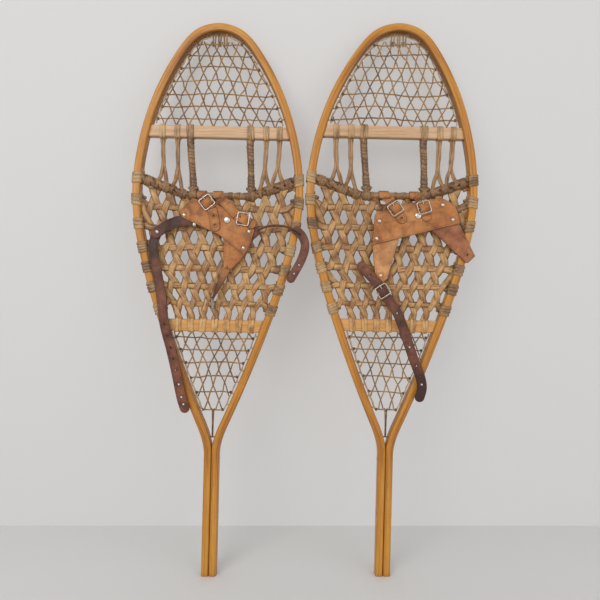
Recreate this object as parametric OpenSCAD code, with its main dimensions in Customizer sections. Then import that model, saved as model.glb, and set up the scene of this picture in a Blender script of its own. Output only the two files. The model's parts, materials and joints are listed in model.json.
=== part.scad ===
// A pair of traditional long-tailed snowshoes, standing side by side on their tails.
// Each has a bent wooden frame, rawhide lacing and a leather binding that tips on the toe cord.
// Millimetres. The origin is on the floor, midway between the two tails.
// +Z runs from tail to toe, +X to the right, and the walking side faces -Y.

/* [Frame] */
// Length of one snowshoe from the tail end to the toe
shoe_h = 1080; // [1074:1:1090]
// Greatest width of one snowshoe over its rails
shoe_w = 334; // [330:1:334]
// Height of the widest place above the tail end
wide_at = 750; // [746:1:754]
// Width of the bent strip, seen from the front
strip_w = 15.6; // [14.8:0.2:16]
// Depth of the bent strip, front to back
strip_d = 22; // [20:1:22]
// Width of the two tail strips together
tail_w = 29.2; // [28:0.4:29.6]
// Distance between the two snowshoes' centre lines
spacing = 340; // [340:1:380]
// Lean of each snowshoe to the right, in degrees
lean = 1.4; // [0:0.1:2]

/* [Crossbars] */
// Height of the front crossbar's lower edge
front_bar_at = 856; // [852:1:860]
// Height of the rear crossbar's lower edge
rear_bar_at = 477; // [474:1:478]
// Height of a crossbar, edge to edge
bar_h = 23.5; // [22:0.5:24]
// Depth of a crossbar, front to back
bar_d = 14; // [12:1:14]

/* [Rawhide] */
// Height of the toe cord's straight middle, which is the binding's pivot
cord_at = 744; // [742:1:746]
// Radius of the toe cord
cord_r = 7; // [6:0.5:7]
// Thickness of the heavy webbing under the foot
webbing_t = 7; // [5:1:8]
// Thickness of the fine lacing in the toe and the tail
lacing_t = 3; // [2:0.5:4]
// Width of one strand of the fine lacing
strand_w = 2.8; // [2:0.2:4]
// Thickness of the bands wrapped round the rails
wrap_t = 2.5; // [1.5:0.5:2.5]

/* [Leather and buckles] */
// Thickness of the instep plates and tabs
leather_t = 2.6; // [2:0.2:2.6]
// Thickness of the straps
strap_t = 2.2; // [1.8:0.2:2.2]
// Width of the straps
strap_w = 19; // [17:1:20]
// Radius of the buckle wire
wire_r = 1.2; // [1:0.1:1.2]

/* [Hidden] */

LEFT = -1;
RIGHT = 1;
// Clearance between neighbouring pieces
gap = 0.3;
// Clearance that is only enough to keep two faces apart
hair = 0.1;
// Colours
WOOD = "#d99a45";
BAR_WOOD = "#e0ac60";
RAWHIDE = "#a8843f";
FINE_RAWHIDE = "#b3925a";
TAN = "#b5703a";
BROWN = "#5f3424";
NICKEL = "#c9c6bf";

// Layers of the binding: distances in front of the frame's middle plane
tab_front = strip_d / 2 + wrap_t + 0.5;
plate_front = tab_front + leather_t + gap;
strap_mid = plate_front + leather_t + 0.2 + strap_t / 2;
buckle_front = strap_mid + strap_t / 2 + 0.2 + wire_r;
heel_buckle_front = buckle_front - 1.2;
// How far the eyes' feet lie behind the buckles' middle bars
foot_toe = buckle_front - plate_front - leather_t - hair;
foot_heel = heel_buckle_front - tab_front - leather_t - hair;

// ---- Outline of a frame ----

half_w = shoe_w / 2;
toe_h = shoe_h - wide_at;
// Stations up the rail: height, half width and slope
STATIONS = [
    [235, tail_w / 2, 0],
    [290, 28.5, 0.44],
    [469, 100, 0.36],
    [609, 145, 0.26],
    [wide_at, half_w, 0]
];

// Height and half width between two stations, at a share t of the way
function blend(a, b, t) =
    let (s = b[0] - a[0], q = t * t, c = t * t * t)
    [
        (2 * c - 3 * q + 1) * a[1] + (c - 2 * q + t) * s * a[2]
            + (3 * q - 2 * c) * b[1] + (c - q) * s * b[2],
        a[0] + s * t
    ];

// Half width of the toe at a share t of its height: a superellipse with a fuller tip
function toe_half(t) = half_w * (pow(1 - pow(t, 1.8), 0.58) + 0.65 * pow(t, 14) * pow(1 - t, 0.6));

// A point on the toe, given by an angle from 0 at the widest place to 90 at the tip
function toe_point(a) =
    let (t = pow(sin(a), 1.111))
    [toe_half(t), wide_at + toe_h * t];

// Half width of the frame at a height
function half_at(w) =
    w <= STATIONS[0][0] ? tail_w / 2
    : w >= wide_at ? toe_half((w - wide_at) / toe_h)
    : [for (i = [0:3])
        if (w > STATIONS[i][0] && w <= STATIONS[i + 1][0])
            blend(STATIONS[i], STATIONS[i + 1],
                (w - STATIONS[i][0]) / (STATIONS[i + 1][0] - STATIONS[i][0]))[0]][0];

// The toe of each frame bends slightly away from the other
left_toe_bend = 4;
right_toe_bend = 8;
function bend_at(w, side) =
    (side < 0 ? -left_toe_bend : right_toe_bend) * pow(max(0, w - 700) / (shoe_h - 700), 2);

RAIL = concat(
    [[tail_w / 2, -2]],
    [for (i = [0:3], k = [0:9]) blend(STATIONS[i], STATIONS[i + 1], k / 10)],
    [for (a = [0:4:88]) toe_point(a)],
    [[0, shoe_h]]
);

module outline(side) {
    n = len(RAIL);
    polygon(concat(
        [for (p = RAIL) [p[0] + bend_at(p[1], side), p[1]]],
        [for (i = [n - 2:-1:0]) [-RAIL[i][0] + bend_at(RAIL[i][1], side), RAIL[i][1]]]
    ));
}

// The space between the rails, drawn in by a distance
module opening(side, inset) {
    offset(delta = -strip_w - inset) outline(side);
}

// A band of the drawing plane between two heights
module heights(low, high) {
    translate([-200, low]) square([400, high - low]);
}

// ---- Placing ----

// One snowshoe's own frame: x across, z up from the tail, -y towards the walking side
module shoe(side) {
    translate([side * spacing / 2, 0, 0]) rotate([0, lean, 0]) children();
}

// A drawing in the frame's plane, extruded from a distance in front of the middle plane
module sheet(front, thick) {
    translate([0, -front, 0]) rotate([90, 0, 0]) linear_extrude(thick) children();
}

// Something at a place in the frame's plane, turned clockwise by an angle
module spot(p, front, turn = 0) {
    translate([p[0], -front, p[1]]) rotate([0, turn, 0]) children();
}

// ---- Paths ----

function unit(v) = v / norm(v);

// A smooth curve through points, with n steps to each span
function curve(p, n) =
    let (m = len(p) - 1)
    concat(
        [for (i = [0:m - 1], k = [0:n - 1])
            let (
                t = k / n,
                a = p[max(i - 1, 0)], b = p[i], c = p[i + 1], d = p[min(i + 2, m)]
            )
            (2 * b + (c - a) * t + (2 * a - 5 * b + 4 * c - d) * t * t
                + (3 * b - a - 3 * c + d) * t * t * t) / 2],
        [p[m]]
    );

function tangent(p, i) = unit(p[min(i + 1, len(p) - 1)] - p[max(i - 1, 0)]);
function beside(p, i, k) = let (t = tangent(p, i)) p[i] + k * [-t[1], t[0]];

// Outline of a ribbon along a path, with a square start and a round or square end
function ribbon(p, width, round_end = false) =
    let (m = len(p) - 1, t = tangent(p, m))
    concat(
        [for (i = [0:m]) beside(p, i, width / 2)],
        round_end
            ? [for (a = [75:-15:-75])
                p[m] + width / 2 * [t[0] * cos(a) - t[1] * sin(a), t[0] * sin(a) + t[1] * cos(a)]]
            : [],
        [for (i = [m:-1:0]) beside(p, i, -width / 2)]
    );

// A straight strip between two points of the drawing plane
module strip(a, b, width) {
    polygon(ribbon([a, b], width));
}

// ---- Wood ----

tenon_l = 8;
tenon_h = bar_h - 8;
tenon_d = bar_d - 6;

module tenon_box(side, at, extra) {
    mid = at + bar_h / 2;
    reach = half_at(mid) - strip_w + tenon_l + extra;
    translate([bend_at(mid, side) - reach, -tenon_d / 2 - extra, mid - tenon_h / 2 - extra])
        cube([2 * reach, tenon_d + 2 * extra, tenon_h + 2 * extra]);
}

TAIL_RIVETS = [118, 226];
tail_rivet_r = 2;

module tail_rivet_line(at, r, reach) {
    translate([-reach, 0, at]) rotate([0, 90, 0]) cylinder(r = r, h = 2 * reach, $fn = 32);
}

module frame_bow(side) {
    color(WOOD) difference() {
        shoe(side) difference() {
            sheet(-strip_d / 2, strip_d) difference() {
                outline(side);
                opening(side, 0);
                // The seam between the two tail strips
                translate([-0.3, -3]) square([0.6, 300]);
            }
            tenon_box(side, front_bar_at, hair);
            tenon_box(side, rear_bar_at, hair);
            for (at = TAIL_RIVETS) tail_rivet_line(at, tail_rivet_r, tail_w);
        }
        // The tail ends are cut level with the floor
        translate([-400, -50, -20]) cube([800, 100, 20]);
    }
}

module crossbar(side, at) {
    color(BAR_WOOD) shoe(side) union() {
        sheet(-bar_d / 2, bar_d) intersection() {
            opening(side, hair);
            heights(at, at + bar_h);
        }
        tenon_box(side, at, 0);
    }
}

module tail_rivets(side) {
    color(NICKEL) shoe(side) for (at = TAIL_RIVETS) {
        tail_rivet_line(at, tail_rivet_r - hair, tail_w / 2 + 1);
        for (s = [-1, 1])
            translate([s * (tail_w / 2 + 0.9), 0, at]) rotate([0, 90, 0])
                cylinder(r = 4, h = 1.6, center = true, $fn = 32);
    }
}

// ---- Fine lacing in the toe and the tail ----

selvedge_w = 4.6;
// The toe lacing starts above the bands that are wrapped round the front crossbar
band_t = 2;
toe_area_at = front_bar_at + bar_h + band_t + gap;
toe_row = 24;
toe_first_row = 896;
toe_pitch = 24;
tail_pitch = 22;
// Height of a cross strand in the tail: the rows grow taller towards the tail
function tail_row(k) = 465 - 22.5 * k - 1.15 * k * k;
function toe_row_at(k) = toe_first_row + toe_row * k;

// Three-way lacing: level strands, and two sets of slanting strands that cross between them
module three_way(rows, pitch, reach) {
    for (k = [0:len(rows) - 1]) strip([-reach, rows[k]], [reach, rows[k]], strand_w);
    for (k = [0:len(rows) - 2], x = [-reach:pitch:reach], s = [-1, 1]) {
        shift = (k % 2) * pitch / 2 + pitch / 4;
        strip([s * (x + shift), rows[k]], [s * (x + shift + pitch / 2), rows[k + 1]], strand_w);
    }
}

module toe_area(side, inset) {
    intersection() {
        opening(side, inset);
        heights(toe_area_at, shoe_h);
    }
}

module tail_area(side, inset) {
    intersection() {
        opening(side, inset);
        heights(260, rear_bar_at - gap);
    }
}

module toe_selvedge(side) {
    color(FINE_RAWHIDE) shoe(side) sheet(-lacing_t / 2, lacing_t) difference() {
        toe_area(side, gap);
        opening(side, selvedge_w);
    }
}

module tail_selvedge(side) {
    color(FINE_RAWHIDE) shoe(side) sheet(-lacing_t / 2, lacing_t) difference() {
        tail_area(side, gap);
        opening(side, selvedge_w);
    }
}

module toe_lacing(side) {
    rows = [for (k = [-1:8]) toe_row_at(k)];
    color(FINE_RAWHIDE) shoe(side) sheet(-lacing_t / 2, lacing_t)
        offset(delta = 0.01) intersection() {
            toe_area(side, selvedge_w + gap);
            union() {
                three_way(rows, toe_pitch, 150);
                heights(toe_area_at, toe_area_at + strand_w);
            }
        }
}

module tail_lacing(side) {
    rows = [for (k = [-1:5]) tail_row(k)];
    color(FINE_RAWHIDE) shoe(side) sheet(-lacing_t / 2, lacing_t)
        offset(delta = 0.01) intersection() {
            tail_area(side, selvedge_w + gap);
            union() {
                three_way(rows, tail_pitch, 100);
                heights(rear_bar_at - gap - strand_w, rear_bar_at - gap);
                // The cord that drops into the throat of the tail
                strip([0, tail_row(5)], [0, 273], 4);
            }
        }
}

// ---- Toe cord and the cords above it ----

cord_half = 64;
cord_rise = 0.36;
function cord_height(u) = cord_at + max(0, abs(u) - cord_half) * cord_rise;

module rod(a, b, r) {
    v = b - a;
    translate([a[0], 0, a[1]]) rotate([0, atan2(v[0], v[1]), 0]) cylinder(r = r, h = norm(v), $fn = 40);
}

module toe_cord(side) {
    reach = half_at(cord_at + 30) - strip_w - wrap_t - 4;
    color(RAWHIDE) shoe(side) {
        rod([-cord_half, cord_at], [cord_half, cord_at], cord_r);
        for (s = [-1, 1]) {
            rod([s * cord_half, cord_at], [s * reach, cord_height(reach)], cord_r);
            translate([s * cord_half, 0, cord_at]) sphere(r = cord_r + 0.6, $fn = 40);
        }
    }
}

// A cord that hangs from a band round the front crossbar and ends just above the toe cord
module hanging_cord(top, foot, r, band_w) {
    bar_mid = front_bar_at + bar_h / 2;
    difference() {
        union() {
            translate([top - band_w / 2, -bar_d / 2 - band_t, front_bar_at - band_t])
                cube([band_w, bar_d + 2 * band_t, bar_h + 2 * band_t]);
            rod([foot, cord_height(foot) + cord_r + 2.5], [top, front_bar_at - 1], r);
        }
        translate([top - 30, -bar_d / 2 - hair, bar_mid - bar_h / 2 - hair])
            cube([60, bar_d + 2 * hair, bar_h + 2 * hair]);
    }
}

module side_cords(side) {
    color(RAWHIDE) shoe(side) {
        hanging_cord(-57, -49, 6.5, 18);
        hanging_cord(61, 64.5, 6.5, 18);
    }
}

module lifter_cords(side) {
    color(RAWHIDE) shoe(side)
        for (u = [-111, -82, 92, 118]) hanging_cord(u, u * 0.98, 3.4, 14);
}

// ---- Heavy webbing and rail wraps ----

ROWS = [514, 549, 583, 619, 661, 699, 740];
// The holes in a row are closer together near the rear crossbar
function hole_pitch(w) = min(31, 24.6 + (w - 514) * 0.07);
WRAPS = [778, 732, 685, 638, 599, 560, 521];

module webbing_area(side) {
    intersection() {
        opening(side, wrap_t + gap);
        polygon([
            [-200, rear_bar_at + bar_h + gap], [200, rear_bar_at + bar_h + gap],
            [200, cord_height(200) - 9], [76, cord_height(76) - 9], [60, cord_at - 12],
            [-60, cord_at - 12], [-76, cord_height(76) - 9], [-200, cord_height(200) - 9]
        ]);
    }
}

// A tall six-sided gap between the crossing strands
module web_gap(p, w, h) {
    translate(p) polygon([
        [-w / 2, -h / 4], [0, -h / 2], [w / 2, -h / 4], [w / 2, h / 4], [0, h / 2], [-w / 2, h / 4]
    ]);
}

module body_webbing(side) {
    color(RAWHIDE) shoe(side) sheet(-webbing_t / 2, webbing_t) difference() {
        webbing_area(side);
        offset(r = 2) offset(delta = -3.5) intersection() {
            offset(delta = -5) webbing_area(side);
            union() for (row = [0:len(ROWS) - 1], i = [-6:6]) {
                step = hole_pitch(ROWS[row]);
                shift = ((row + 1) % 2) / 2;
                web_gap([(i + shift) * step, ROWS[row]], step - 7, 35);
            }
        }
    }
}

module rail_wraps(side) {
    color(RAWHIDE) shoe(side) difference() {
        sheet(-strip_d / 2 - wrap_t, strip_d + 2 * wrap_t) intersection() {
            difference() {
                offset(delta = wrap_t) outline(side);
                opening(side, wrap_t);
            }
            union() for (k = [0:len(WRAPS) - 1])
                heights(WRAPS[k] - 11 + k / 4, WRAPS[k] + 11 - k / 4);
        }
        sheet(-strip_d / 2 - hair, strip_d + 2 * hair) difference() {
            offset(delta = hair) outline(side);
            opening(side, hair);
        }
    }
}

// ---- Rivets and buckles ----

rivet_r = 1.8;
rivet_hole_r = 2.1;

module rivet_hole(p) {
    spot(p, -5) rotate([90, 0, 0]) cylinder(r = rivet_hole_r, h = 60, $fn = 32);
}

// A rivet from a plain back head to a domed front head
module rivet(p, back, front, head_r = 4.2) {
    spot(p, back) rotate([90, 0, 0]) union() {
        translate([0, 0, -0.5]) cylinder(r = rivet_r, h = front - back + 1, $fn = 32);
        translate([0, 0, -1.3]) cylinder(r = 3.6, h = 1.2, $fn = 32);
        translate([0, 0, front - back + hair]) rotate_extrude($fn = 40)
            polygon([[0, 0], [head_r, 0], [head_r * 0.94, 0.6], [head_r * 0.7, 1.4], [0, 1.9]]);
    }
}

buckle_half_l = 12;
buckle_half_w = strap_w / 2 + 1.9 + wire_r;
pin_r = wire_r - 0.1;
prong_r = 0.9;
prong_tilt = asin((wire_r + prong_r + 0.15) / buckle_half_l);

module crosswise(r, h, fn = 32) {
    rotate([0, 90, 0]) cylinder(r = r, h = h, center = true, $fn = fn);
}

module buckle_frame() {
    for (z = [-buckle_half_l, buckle_half_l])
        translate([0, 0, z]) crosswise(wire_r, 2 * buckle_half_w);
    crosswise(pin_r, 2 * buckle_half_w);
    for (x = [-buckle_half_w, buckle_half_w]) {
        translate([x, 0, -buckle_half_l]) cylinder(r = wire_r, h = 2 * buckle_half_l, $fn = 32);
        for (z = [-buckle_half_l, buckle_half_l])
            translate([x, 0, z]) sphere(r = wire_r + 0.12, $fn = 32);
    }
}

// The tongue turns on the buckle's middle bar and rests on its upper bar
module tongue(length = 15) {
    difference() {
        union() {
            crosswise(pin_r + 1, 3);
            rotate([prong_tilt, 0, 0]) cylinder(r = prong_r, h = length, $fn = 24);
        }
        crosswise(pin_r + 0.1, 10);
    }
}

chape_r = pin_r + 1.1;

// A leather eye that holds the middle bar, down to a foot at a depth behind it
module chape_eye(foot) {
    difference() {
        union() {
            crosswise(chape_r, 15);
            translate([-7.5, 0, -1.5]) cube([15, foot - 0.2, 3]);
            translate([-7.5, foot - 1.2, -5]) cube([15, 1.2, 10]);
        }
        crosswise(pin_r + 0.1, 40);
        translate([-1.9, -5, -8]) cube([3.8, 7.4, 16]);
    }
}

// Height of the strap's middle in front of the buckle's bars, along the strap
hump = chape_r + 0.15 + strap_t / 2;
dip = wire_r + 0.2 + strap_t / 2;
THREAD = [
    [-16, -dip], [-10.5, -dip], [-8.4, -1.6], [-5, hump - 0.8], [-2.8, hump],
    [2.8, hump], [5, hump - 0.8], [8.4, -1.6], [10.5, -dip], [16, -dip]
];

// A strap's side view, given as distances down the strap and in front, extruded across it
module strap_profile(path) {
    translate([-strap_w / 2, 0, 0]) rotate([90, 0, 90]) linear_extrude(strap_w)
        polygon([for (p = ribbon(path, strap_t)) [-p[1], -p[0]]]);
}

// The length of strap that threads the buckle: under the outer bars and over the middle one
module threaded() {
    difference() {
        strap_profile(THREAD);
        translate([0, -1.2, 6.1]) rotate([90 - 51, 0, 0])
            cylinder(r = 2.3, h = 9, center = true, $fn = 32);
    }
}

module punched(points, r = 1.9) {
    for (p = points) spot(p, 5) rotate([90, 0, 0]) cylinder(r = r, h = 60, $fn = 24);
}

// A flat length of toe strap in front of the plate
module flat_strap(path, round_end = false) {
    sheet(strap_mid - strap_t / 2, strap_t) polygon(ribbon(path, strap_w, round_end));
}

loop_r = cord_r + 0.4;

// The loop round the toe cord and the strap that climbs from it to the plate's face
module cord_loop(u, turn, reach) {
    difference() {
        union() {
            translate([u, 0, cord_at]) crosswise(loop_r + strap_t, strap_w, 48);
            spot([u, cord_at], 0, turn) strap_profile([
                [-3, loop_r + strap_t / 2], [2, loop_r + strap_t / 2 + 0.6],
                [reach - 5, strap_mid - 0.1], [reach, strap_mid], [reach + 2, strap_mid]
            ]);
        }
        translate([u, 0, cord_at]) crosswise(loop_r, 60, 48);
    }
}

// Direction down a strap that is turned by an angle
function down(turn) = [-sin(turn), -cos(turn)];

// ---- Right binding ----

R_PLATE = [
    [-34, 701], [-38, 644], [131, 690], [128, 706], [121, 725], [111, 731],
    [96, 738], [74, 736], [48, 731], [16, 722], [-32, 706]
];
R_INNER_RIVETS = [[-24.5, 691], [-29, 657]];
R_OUTER_RIVETS = [[97, 725], [117, 697]];
R_STUD = [50, 703];
R_HEEL = [-19.5, 586];
R_TAB_HOLE = [147, 630];
right_a = [4.8, 715.5];
right_a_turn = -35;
right_b = [60, 719];
right_b_turn = -18;
right_heel = [-15, 556];
right_heel_turn = -34;

module right_instep_plate() {
    color(TAN) shoe(RIGHT) difference() {
        sheet(plate_front, leather_t) polygon(R_PLATE);
        for (p = concat(R_INNER_RIVETS, R_OUTER_RIVETS, [R_STUD])) rivet_hole(p);
    }
}

module right_inner_tab() {
    color(TAN) shoe(RIGHT) difference() {
        sheet(tab_front, leather_t) polygon([
            [-32, 699], [-37, 645], [-31, 592], [-25, 577], [-15, 572], [-6, 580], [14, 655], [12, 708]
        ]);
        for (p = concat(R_INNER_RIVETS, [R_HEEL])) rivet_hole(p);
    }
}

module right_outer_tab() {
    color(BROWN) shoe(RIGHT) difference() {
        sheet(tab_front, leather_t) polygon([
            [79, 674], [146, 614], [150, 615], [163, 628], [131, 689], [116, 722], [84, 731]
        ]);
        for (p = concat(R_OUTER_RIVETS, [R_TAB_HOLE])) rivet_hole(p);
    }
}

module right_plate_rivets() {
    color(NICKEL) shoe(RIGHT) {
        for (p = concat(R_INNER_RIVETS, R_OUTER_RIVETS))
            rivet(p, tab_front - hair, plate_front + leather_t);
        rivet(R_STUD, plate_front - hair, plate_front + leather_t, 5);
    }
}

module right_toe_strap_a() {
    start = right_a + 15 * down(right_a_turn);
    loop_u = right_a[0] - (cord_at - right_a[1]) * tan(-right_a_turn);
    run = (cord_at - right_a[1]) / cos(right_a_turn);
    color(TAN) shoe(RIGHT) difference() {
        union() {
            cord_loop(loop_u, right_a_turn, run - 16);
            spot(right_a, buckle_front, right_a_turn) threaded();
            flat_strap([start, [18.5, 696]], true);
        }
        punched([[17.5, 697.5]]);
    }
}

module right_toe_strap_b() {
    start = right_b + 15 * down(right_b_turn);
    color(TAN) shoe(RIGHT) union() {
        cord_loop(45, -42, 9.5);
        flat_strap([[45, cord_at] + 8.5 * down(-42), right_b - 14 * down(right_b_turn)]);
        spot(right_b, buckle_front, right_b_turn) threaded();
        flat_strap([start, start + 4 * down(right_b_turn)], true);
    }
}

module right_buckle_chapes() {
    color(TAN) shoe(RIGHT) {
        spot(right_a, buckle_front, right_a_turn) chape_eye(foot_toe);
        spot(right_b, buckle_front, right_b_turn) chape_eye(foot_toe);
    }
}

module right_heel_strap() {
    start = right_heel - 15 * down(right_heel_turn);
    finish = right_heel + 15 * down(right_heel_turn);
    lower = curve([finish, [10, 521], [23, 494], [47, 428], [61, 393], [65, 371], [61, 353]], 6);
    mid = heel_buckle_front - dip;
    color(BROWN) shoe(RIGHT) difference() {
        union() {
            sheet(mid - strap_t / 2, strap_t)
                polygon(ribbon(curve([start, [-38, 583], [-57, 603]], 6), strap_w, true));
            spot(right_heel, heel_buckle_front, right_heel_turn) threaded();
            sheet(mid - strap_t / 2, strap_t) polygon(ribbon(lower, strap_w, true));
        }
        punched([for (i = [8:4:28]) lower[i]]);
        punched([[-40, 585], [-54, 600]]);
    }
}

module right_heel_chape() {
    color(BROWN) shoe(RIGHT) difference() {
        union() {
            spot(right_heel, heel_buckle_front, right_heel_turn) chape_eye(foot_heel);
            sheet(tab_front + leather_t + hair, 1.3) polygon(
                ribbon([right_heel + [-3, 5], R_HEEL + [-1.5, 6]], 14)
            );
        }
        rivet_hole(R_HEEL);
    }
}

module right_heel_rivet() {
    color(NICKEL) shoe(RIGHT)
        rivet(R_HEEL, tab_front - hair, tab_front + leather_t + hair + 1.3);
}

// ---- Left binding ----

L_PLATE = [
    [-47, 735], [-72, 707], [-66, 697], [4, 666], [56, 627], [68, 650], [75, 676],
    [68, 686], [31, 709], [-4, 727]
];
L_OUTER_RIVETS = [[-62, 702], [-42, 684]];
L_INNER_RIVETS = [[54, 641]];
L_ANKLE_RIVETS = [[64, 673]];
L_STUD = [21, 694];
L_HEEL = [-113.5, 668];
left_a = [-18, 727];
left_a_turn = -39;
left_b = [52.5, 696.5];
left_b_turn = -60;
L_HEEL_BAR = [-4, 541];

module left_instep_plate() {
    color(TAN) shoe(LEFT) difference() {
        sheet(plate_front, leather_t) polygon(L_PLATE);
        for (p = concat(L_OUTER_RIVETS, L_INNER_RIVETS, L_ANKLE_RIVETS, [L_STUD])) rivet_hole(p);
    }
}

// The outer tab arcs out to the rivet that the heel strap hangs from
module left_outer_tab() {
    arc = curve([[-20, 674], [-48, 689], [-73, 690], [-97, 679], [-115, 666]], 6);
    color(BROWN) shoe(LEFT) difference() {
        sheet(tab_front, leather_t) polygon(ribbon(arc, 21, true));
        for (p = concat(L_OUTER_RIVETS, [L_HEEL])) rivet_hole(p);
    }
}

// The inner tab narrows and twists edge-on into the eye that holds the heel buckle
module left_inner_tab() {
    tail = curve([[23, 604], [15, 581], [4.5, 561], L_HEEL_BAR], 6);
    color(TAN) shoe(LEFT) difference() {
        union() {
            sheet(tab_front, leather_t) polygon([
                [14, 668], [15, 640], [15.5, 603], [20, 597], [30, 598],
                [44, 612], [60, 631], [61, 648], [40, 662]
            ]);
            sheet(7, 13) polygon(ribbon(tail, 3.4));
            spot(L_HEEL_BAR, 7) rotate([90, 0, 0]) cylinder(r = 3, h = 13, $fn = 32);
        }
        for (p = L_INNER_RIVETS) rivet_hole(p);
        spot(L_HEEL_BAR, 0) rotate([90, 0, 0]) cylinder(r = pin_r + 0.2, h = 40, $fn = 32);
        spot(L_HEEL_BAR, 11.5) translate([-8, -4, -8]) cube([16, 4, 16]);
    }
}

// The ankle strap leaves the plate edge-on, passes over the rail and hangs flat outside it
module left_ankle_strap() {
    color(BROWN) shoe(LEFT) difference() {
        union() {
            sheet(tab_front, leather_t) polygon([[56, 664], [72, 657], [84, 668], [83, 681], [60, 682]]);
            sheet(tab_front, 12) polygon(
                ribbon(curve([[81, 676], [101, 684], [129, 685], [153, 678], [162, 670]], 6), 3.2)
            );
            sheet(tab_front + 1, strap_t) polygon(
                ribbon(curve([[151, 681], [166, 668], [173, 648], [166, 620], [147, 584]], 6), 17, true)
            );
        }
        for (p = L_ANKLE_RIVETS) rivet_hole(p);
        punched([[162, 611], [153, 594]]);
    }
}

module left_plate_rivets() {
    color(NICKEL) shoe(LEFT) {
        for (p = concat(L_OUTER_RIVETS, L_INNER_RIVETS, L_ANKLE_RIVETS))
            rivet(p, tab_front - hair, plate_front + leather_t);
        rivet(L_STUD, plate_front - hair, plate_front + leather_t, 5);
    }
}

module left_toe_strap_a() {
    start = left_a + 15 * down(left_a_turn);
    loop_u = left_a[0] - (cord_at - left_a[1]) * tan(-left_a_turn);
    run = (cord_at - left_a[1]) / cos(left_a_turn);
    color(TAN) shoe(LEFT) difference() {
        union() {
            cord_loop(loop_u, left_a_turn, run - 12);
            spot(left_a, buckle_front, left_a_turn) threaded();
            flat_strap(curve([start, [-4, 700], [-1, 681]], 6), true);
        }
        punched([[-4.5, 701], [-1.5, 684]]);
    }
}

module left_toe_strap_b() {
    finish = left_b - 15 * down(left_b_turn);
    start = left_b + 15 * down(left_b_turn);
    color(TAN) shoe(LEFT) union() {
        cord_loop(0, -44, 16);
        flat_strap([[0, cord_at] + 15 * down(-44), finish]);
        spot(left_b, buckle_front, left_b_turn) threaded();
        flat_strap([start, start + 3 * down(left_b_turn)], true);
    }
}

module left_buckle_chapes() {
    color(TAN) shoe(LEFT) {
        spot(left_a, buckle_front, left_a_turn) chape_eye(foot_toe);
        spot(left_b, buckle_front, left_b_turn) chape_eye(foot_toe);
    }
}

module left_heel_strap() {
    path = curve([
        L_HEEL, [-120, 648], [-118, 620], [-110, 583], [-102, 540], [-95, 490],
        [-82, 445], [-71, 402], [-59, 350], [-52, 329]
    ], 4);
    color(BROWN) shoe(LEFT) difference() {
        union() {
            sheet(plate_front, strap_t) polygon(ribbon(path, strap_w, true));
            spot(L_HEEL, plate_front) rotate([90, 0, 0]) cylinder(r = 9.7, h = strap_t, $fn = 48);
        }
        rivet_hole(L_HEEL);
        punched([for (i = [20:2:34]) path[i]]);
    }
}

module left_heel_rivet() {
    color(NICKEL) shoe(LEFT) rivet(L_HEEL, tab_front - hair, plate_front + strap_t);
}

// The free heel buckle hangs edge-on: its bars run front to back
module left_heel_buckle_spot() {
    spot(L_HEEL_BAR, 13.5, 176) rotate([0, 0, 90]) children();
}

module left_heel_buckle() {
    color(NICKEL) shoe(LEFT) left_heel_buckle_spot() {
        small_w = 8.2;
        for (z = [0, 18]) translate([0, 0, z]) crosswise(z == 0 ? pin_r : wire_r, 2 * small_w);
        for (x = [-small_w, small_w]) {
            translate([x, 0, 0]) cylinder(r = wire_r, h = 18, $fn = 32);
            for (z = [0, 18]) translate([x, 0, z]) sphere(r = wire_r + 0.12, $fn = 32);
        }
    }
}

module left_heel_tongue() {
    color(NICKEL) shoe(LEFT) left_heel_buckle_spot() difference() {
        union() {
            crosswise(pin_r + 1, 3);
            rotate([asin((wire_r + prong_r + 0.15) / 18), 0, 0]) cylinder(r = prong_r, h = 21, $fn = 24);
        }
        crosswise(pin_r + 0.1, 10);
    }
}

module placed_buckle(side, at, front, turn) {
    color(NICKEL) shoe(side) spot(at, front, turn) buckle_frame();
}

module placed_tongue(side, at, front, turn) {
    color(NICKEL) shoe(side) spot(at, front, turn) tongue();
}

// ---- Nodes ----

frame_bow(LEFT);  // left_frame_bow
crossbar(LEFT, front_bar_at);  // left_front_crossbar
crossbar(LEFT, rear_bar_at);  // left_rear_crossbar
tail_rivets(LEFT);  // left_tail_rivets
toe_selvedge(LEFT);  // left_toe_selvedge
toe_lacing(LEFT);  // left_toe_lacing
toe_cord(LEFT);  // left_toe_cord
side_cords(LEFT);  // left_side_cords
lifter_cords(LEFT);  // left_lifter_cords
body_webbing(LEFT);  // left_body_webbing
rail_wraps(LEFT);  // left_rail_wraps
tail_selvedge(LEFT);  // left_tail_selvedge
tail_lacing(LEFT);  // left_tail_lacing
left_instep_plate();
left_inner_tab();
left_outer_tab();
left_ankle_strap();
left_plate_rivets();
left_toe_strap_a();
left_toe_strap_b();
left_buckle_chapes();
placed_buckle(LEFT, left_a, buckle_front, left_a_turn);  // left_buckle_a
placed_buckle(LEFT, left_b, buckle_front, left_b_turn);  // left_buckle_b
placed_tongue(LEFT, left_a, buckle_front, left_a_turn);  // left_tongue_a
placed_tongue(LEFT, left_b, buckle_front, left_b_turn);  // left_tongue_b
left_heel_strap();
left_heel_rivet();
left_heel_buckle();
left_heel_tongue();
frame_bow(RIGHT);  // right_frame_bow
crossbar(RIGHT, front_bar_at);  // right_front_crossbar
crossbar(RIGHT, rear_bar_at);  // right_rear_crossbar
tail_rivets(RIGHT);  // right_tail_rivets
toe_selvedge(RIGHT);  // right_toe_selvedge
toe_lacing(RIGHT);  // right_toe_lacing
toe_cord(RIGHT);  // right_toe_cord
side_cords(RIGHT);  // right_side_cords
lifter_cords(RIGHT);  // right_lifter_cords
body_webbing(RIGHT);  // right_body_webbing
rail_wraps(RIGHT);  // right_rail_wraps
tail_selvedge(RIGHT);  // right_tail_selvedge
tail_lacing(RIGHT);  // right_tail_lacing
right_instep_plate();
right_inner_tab();
right_outer_tab();
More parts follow.
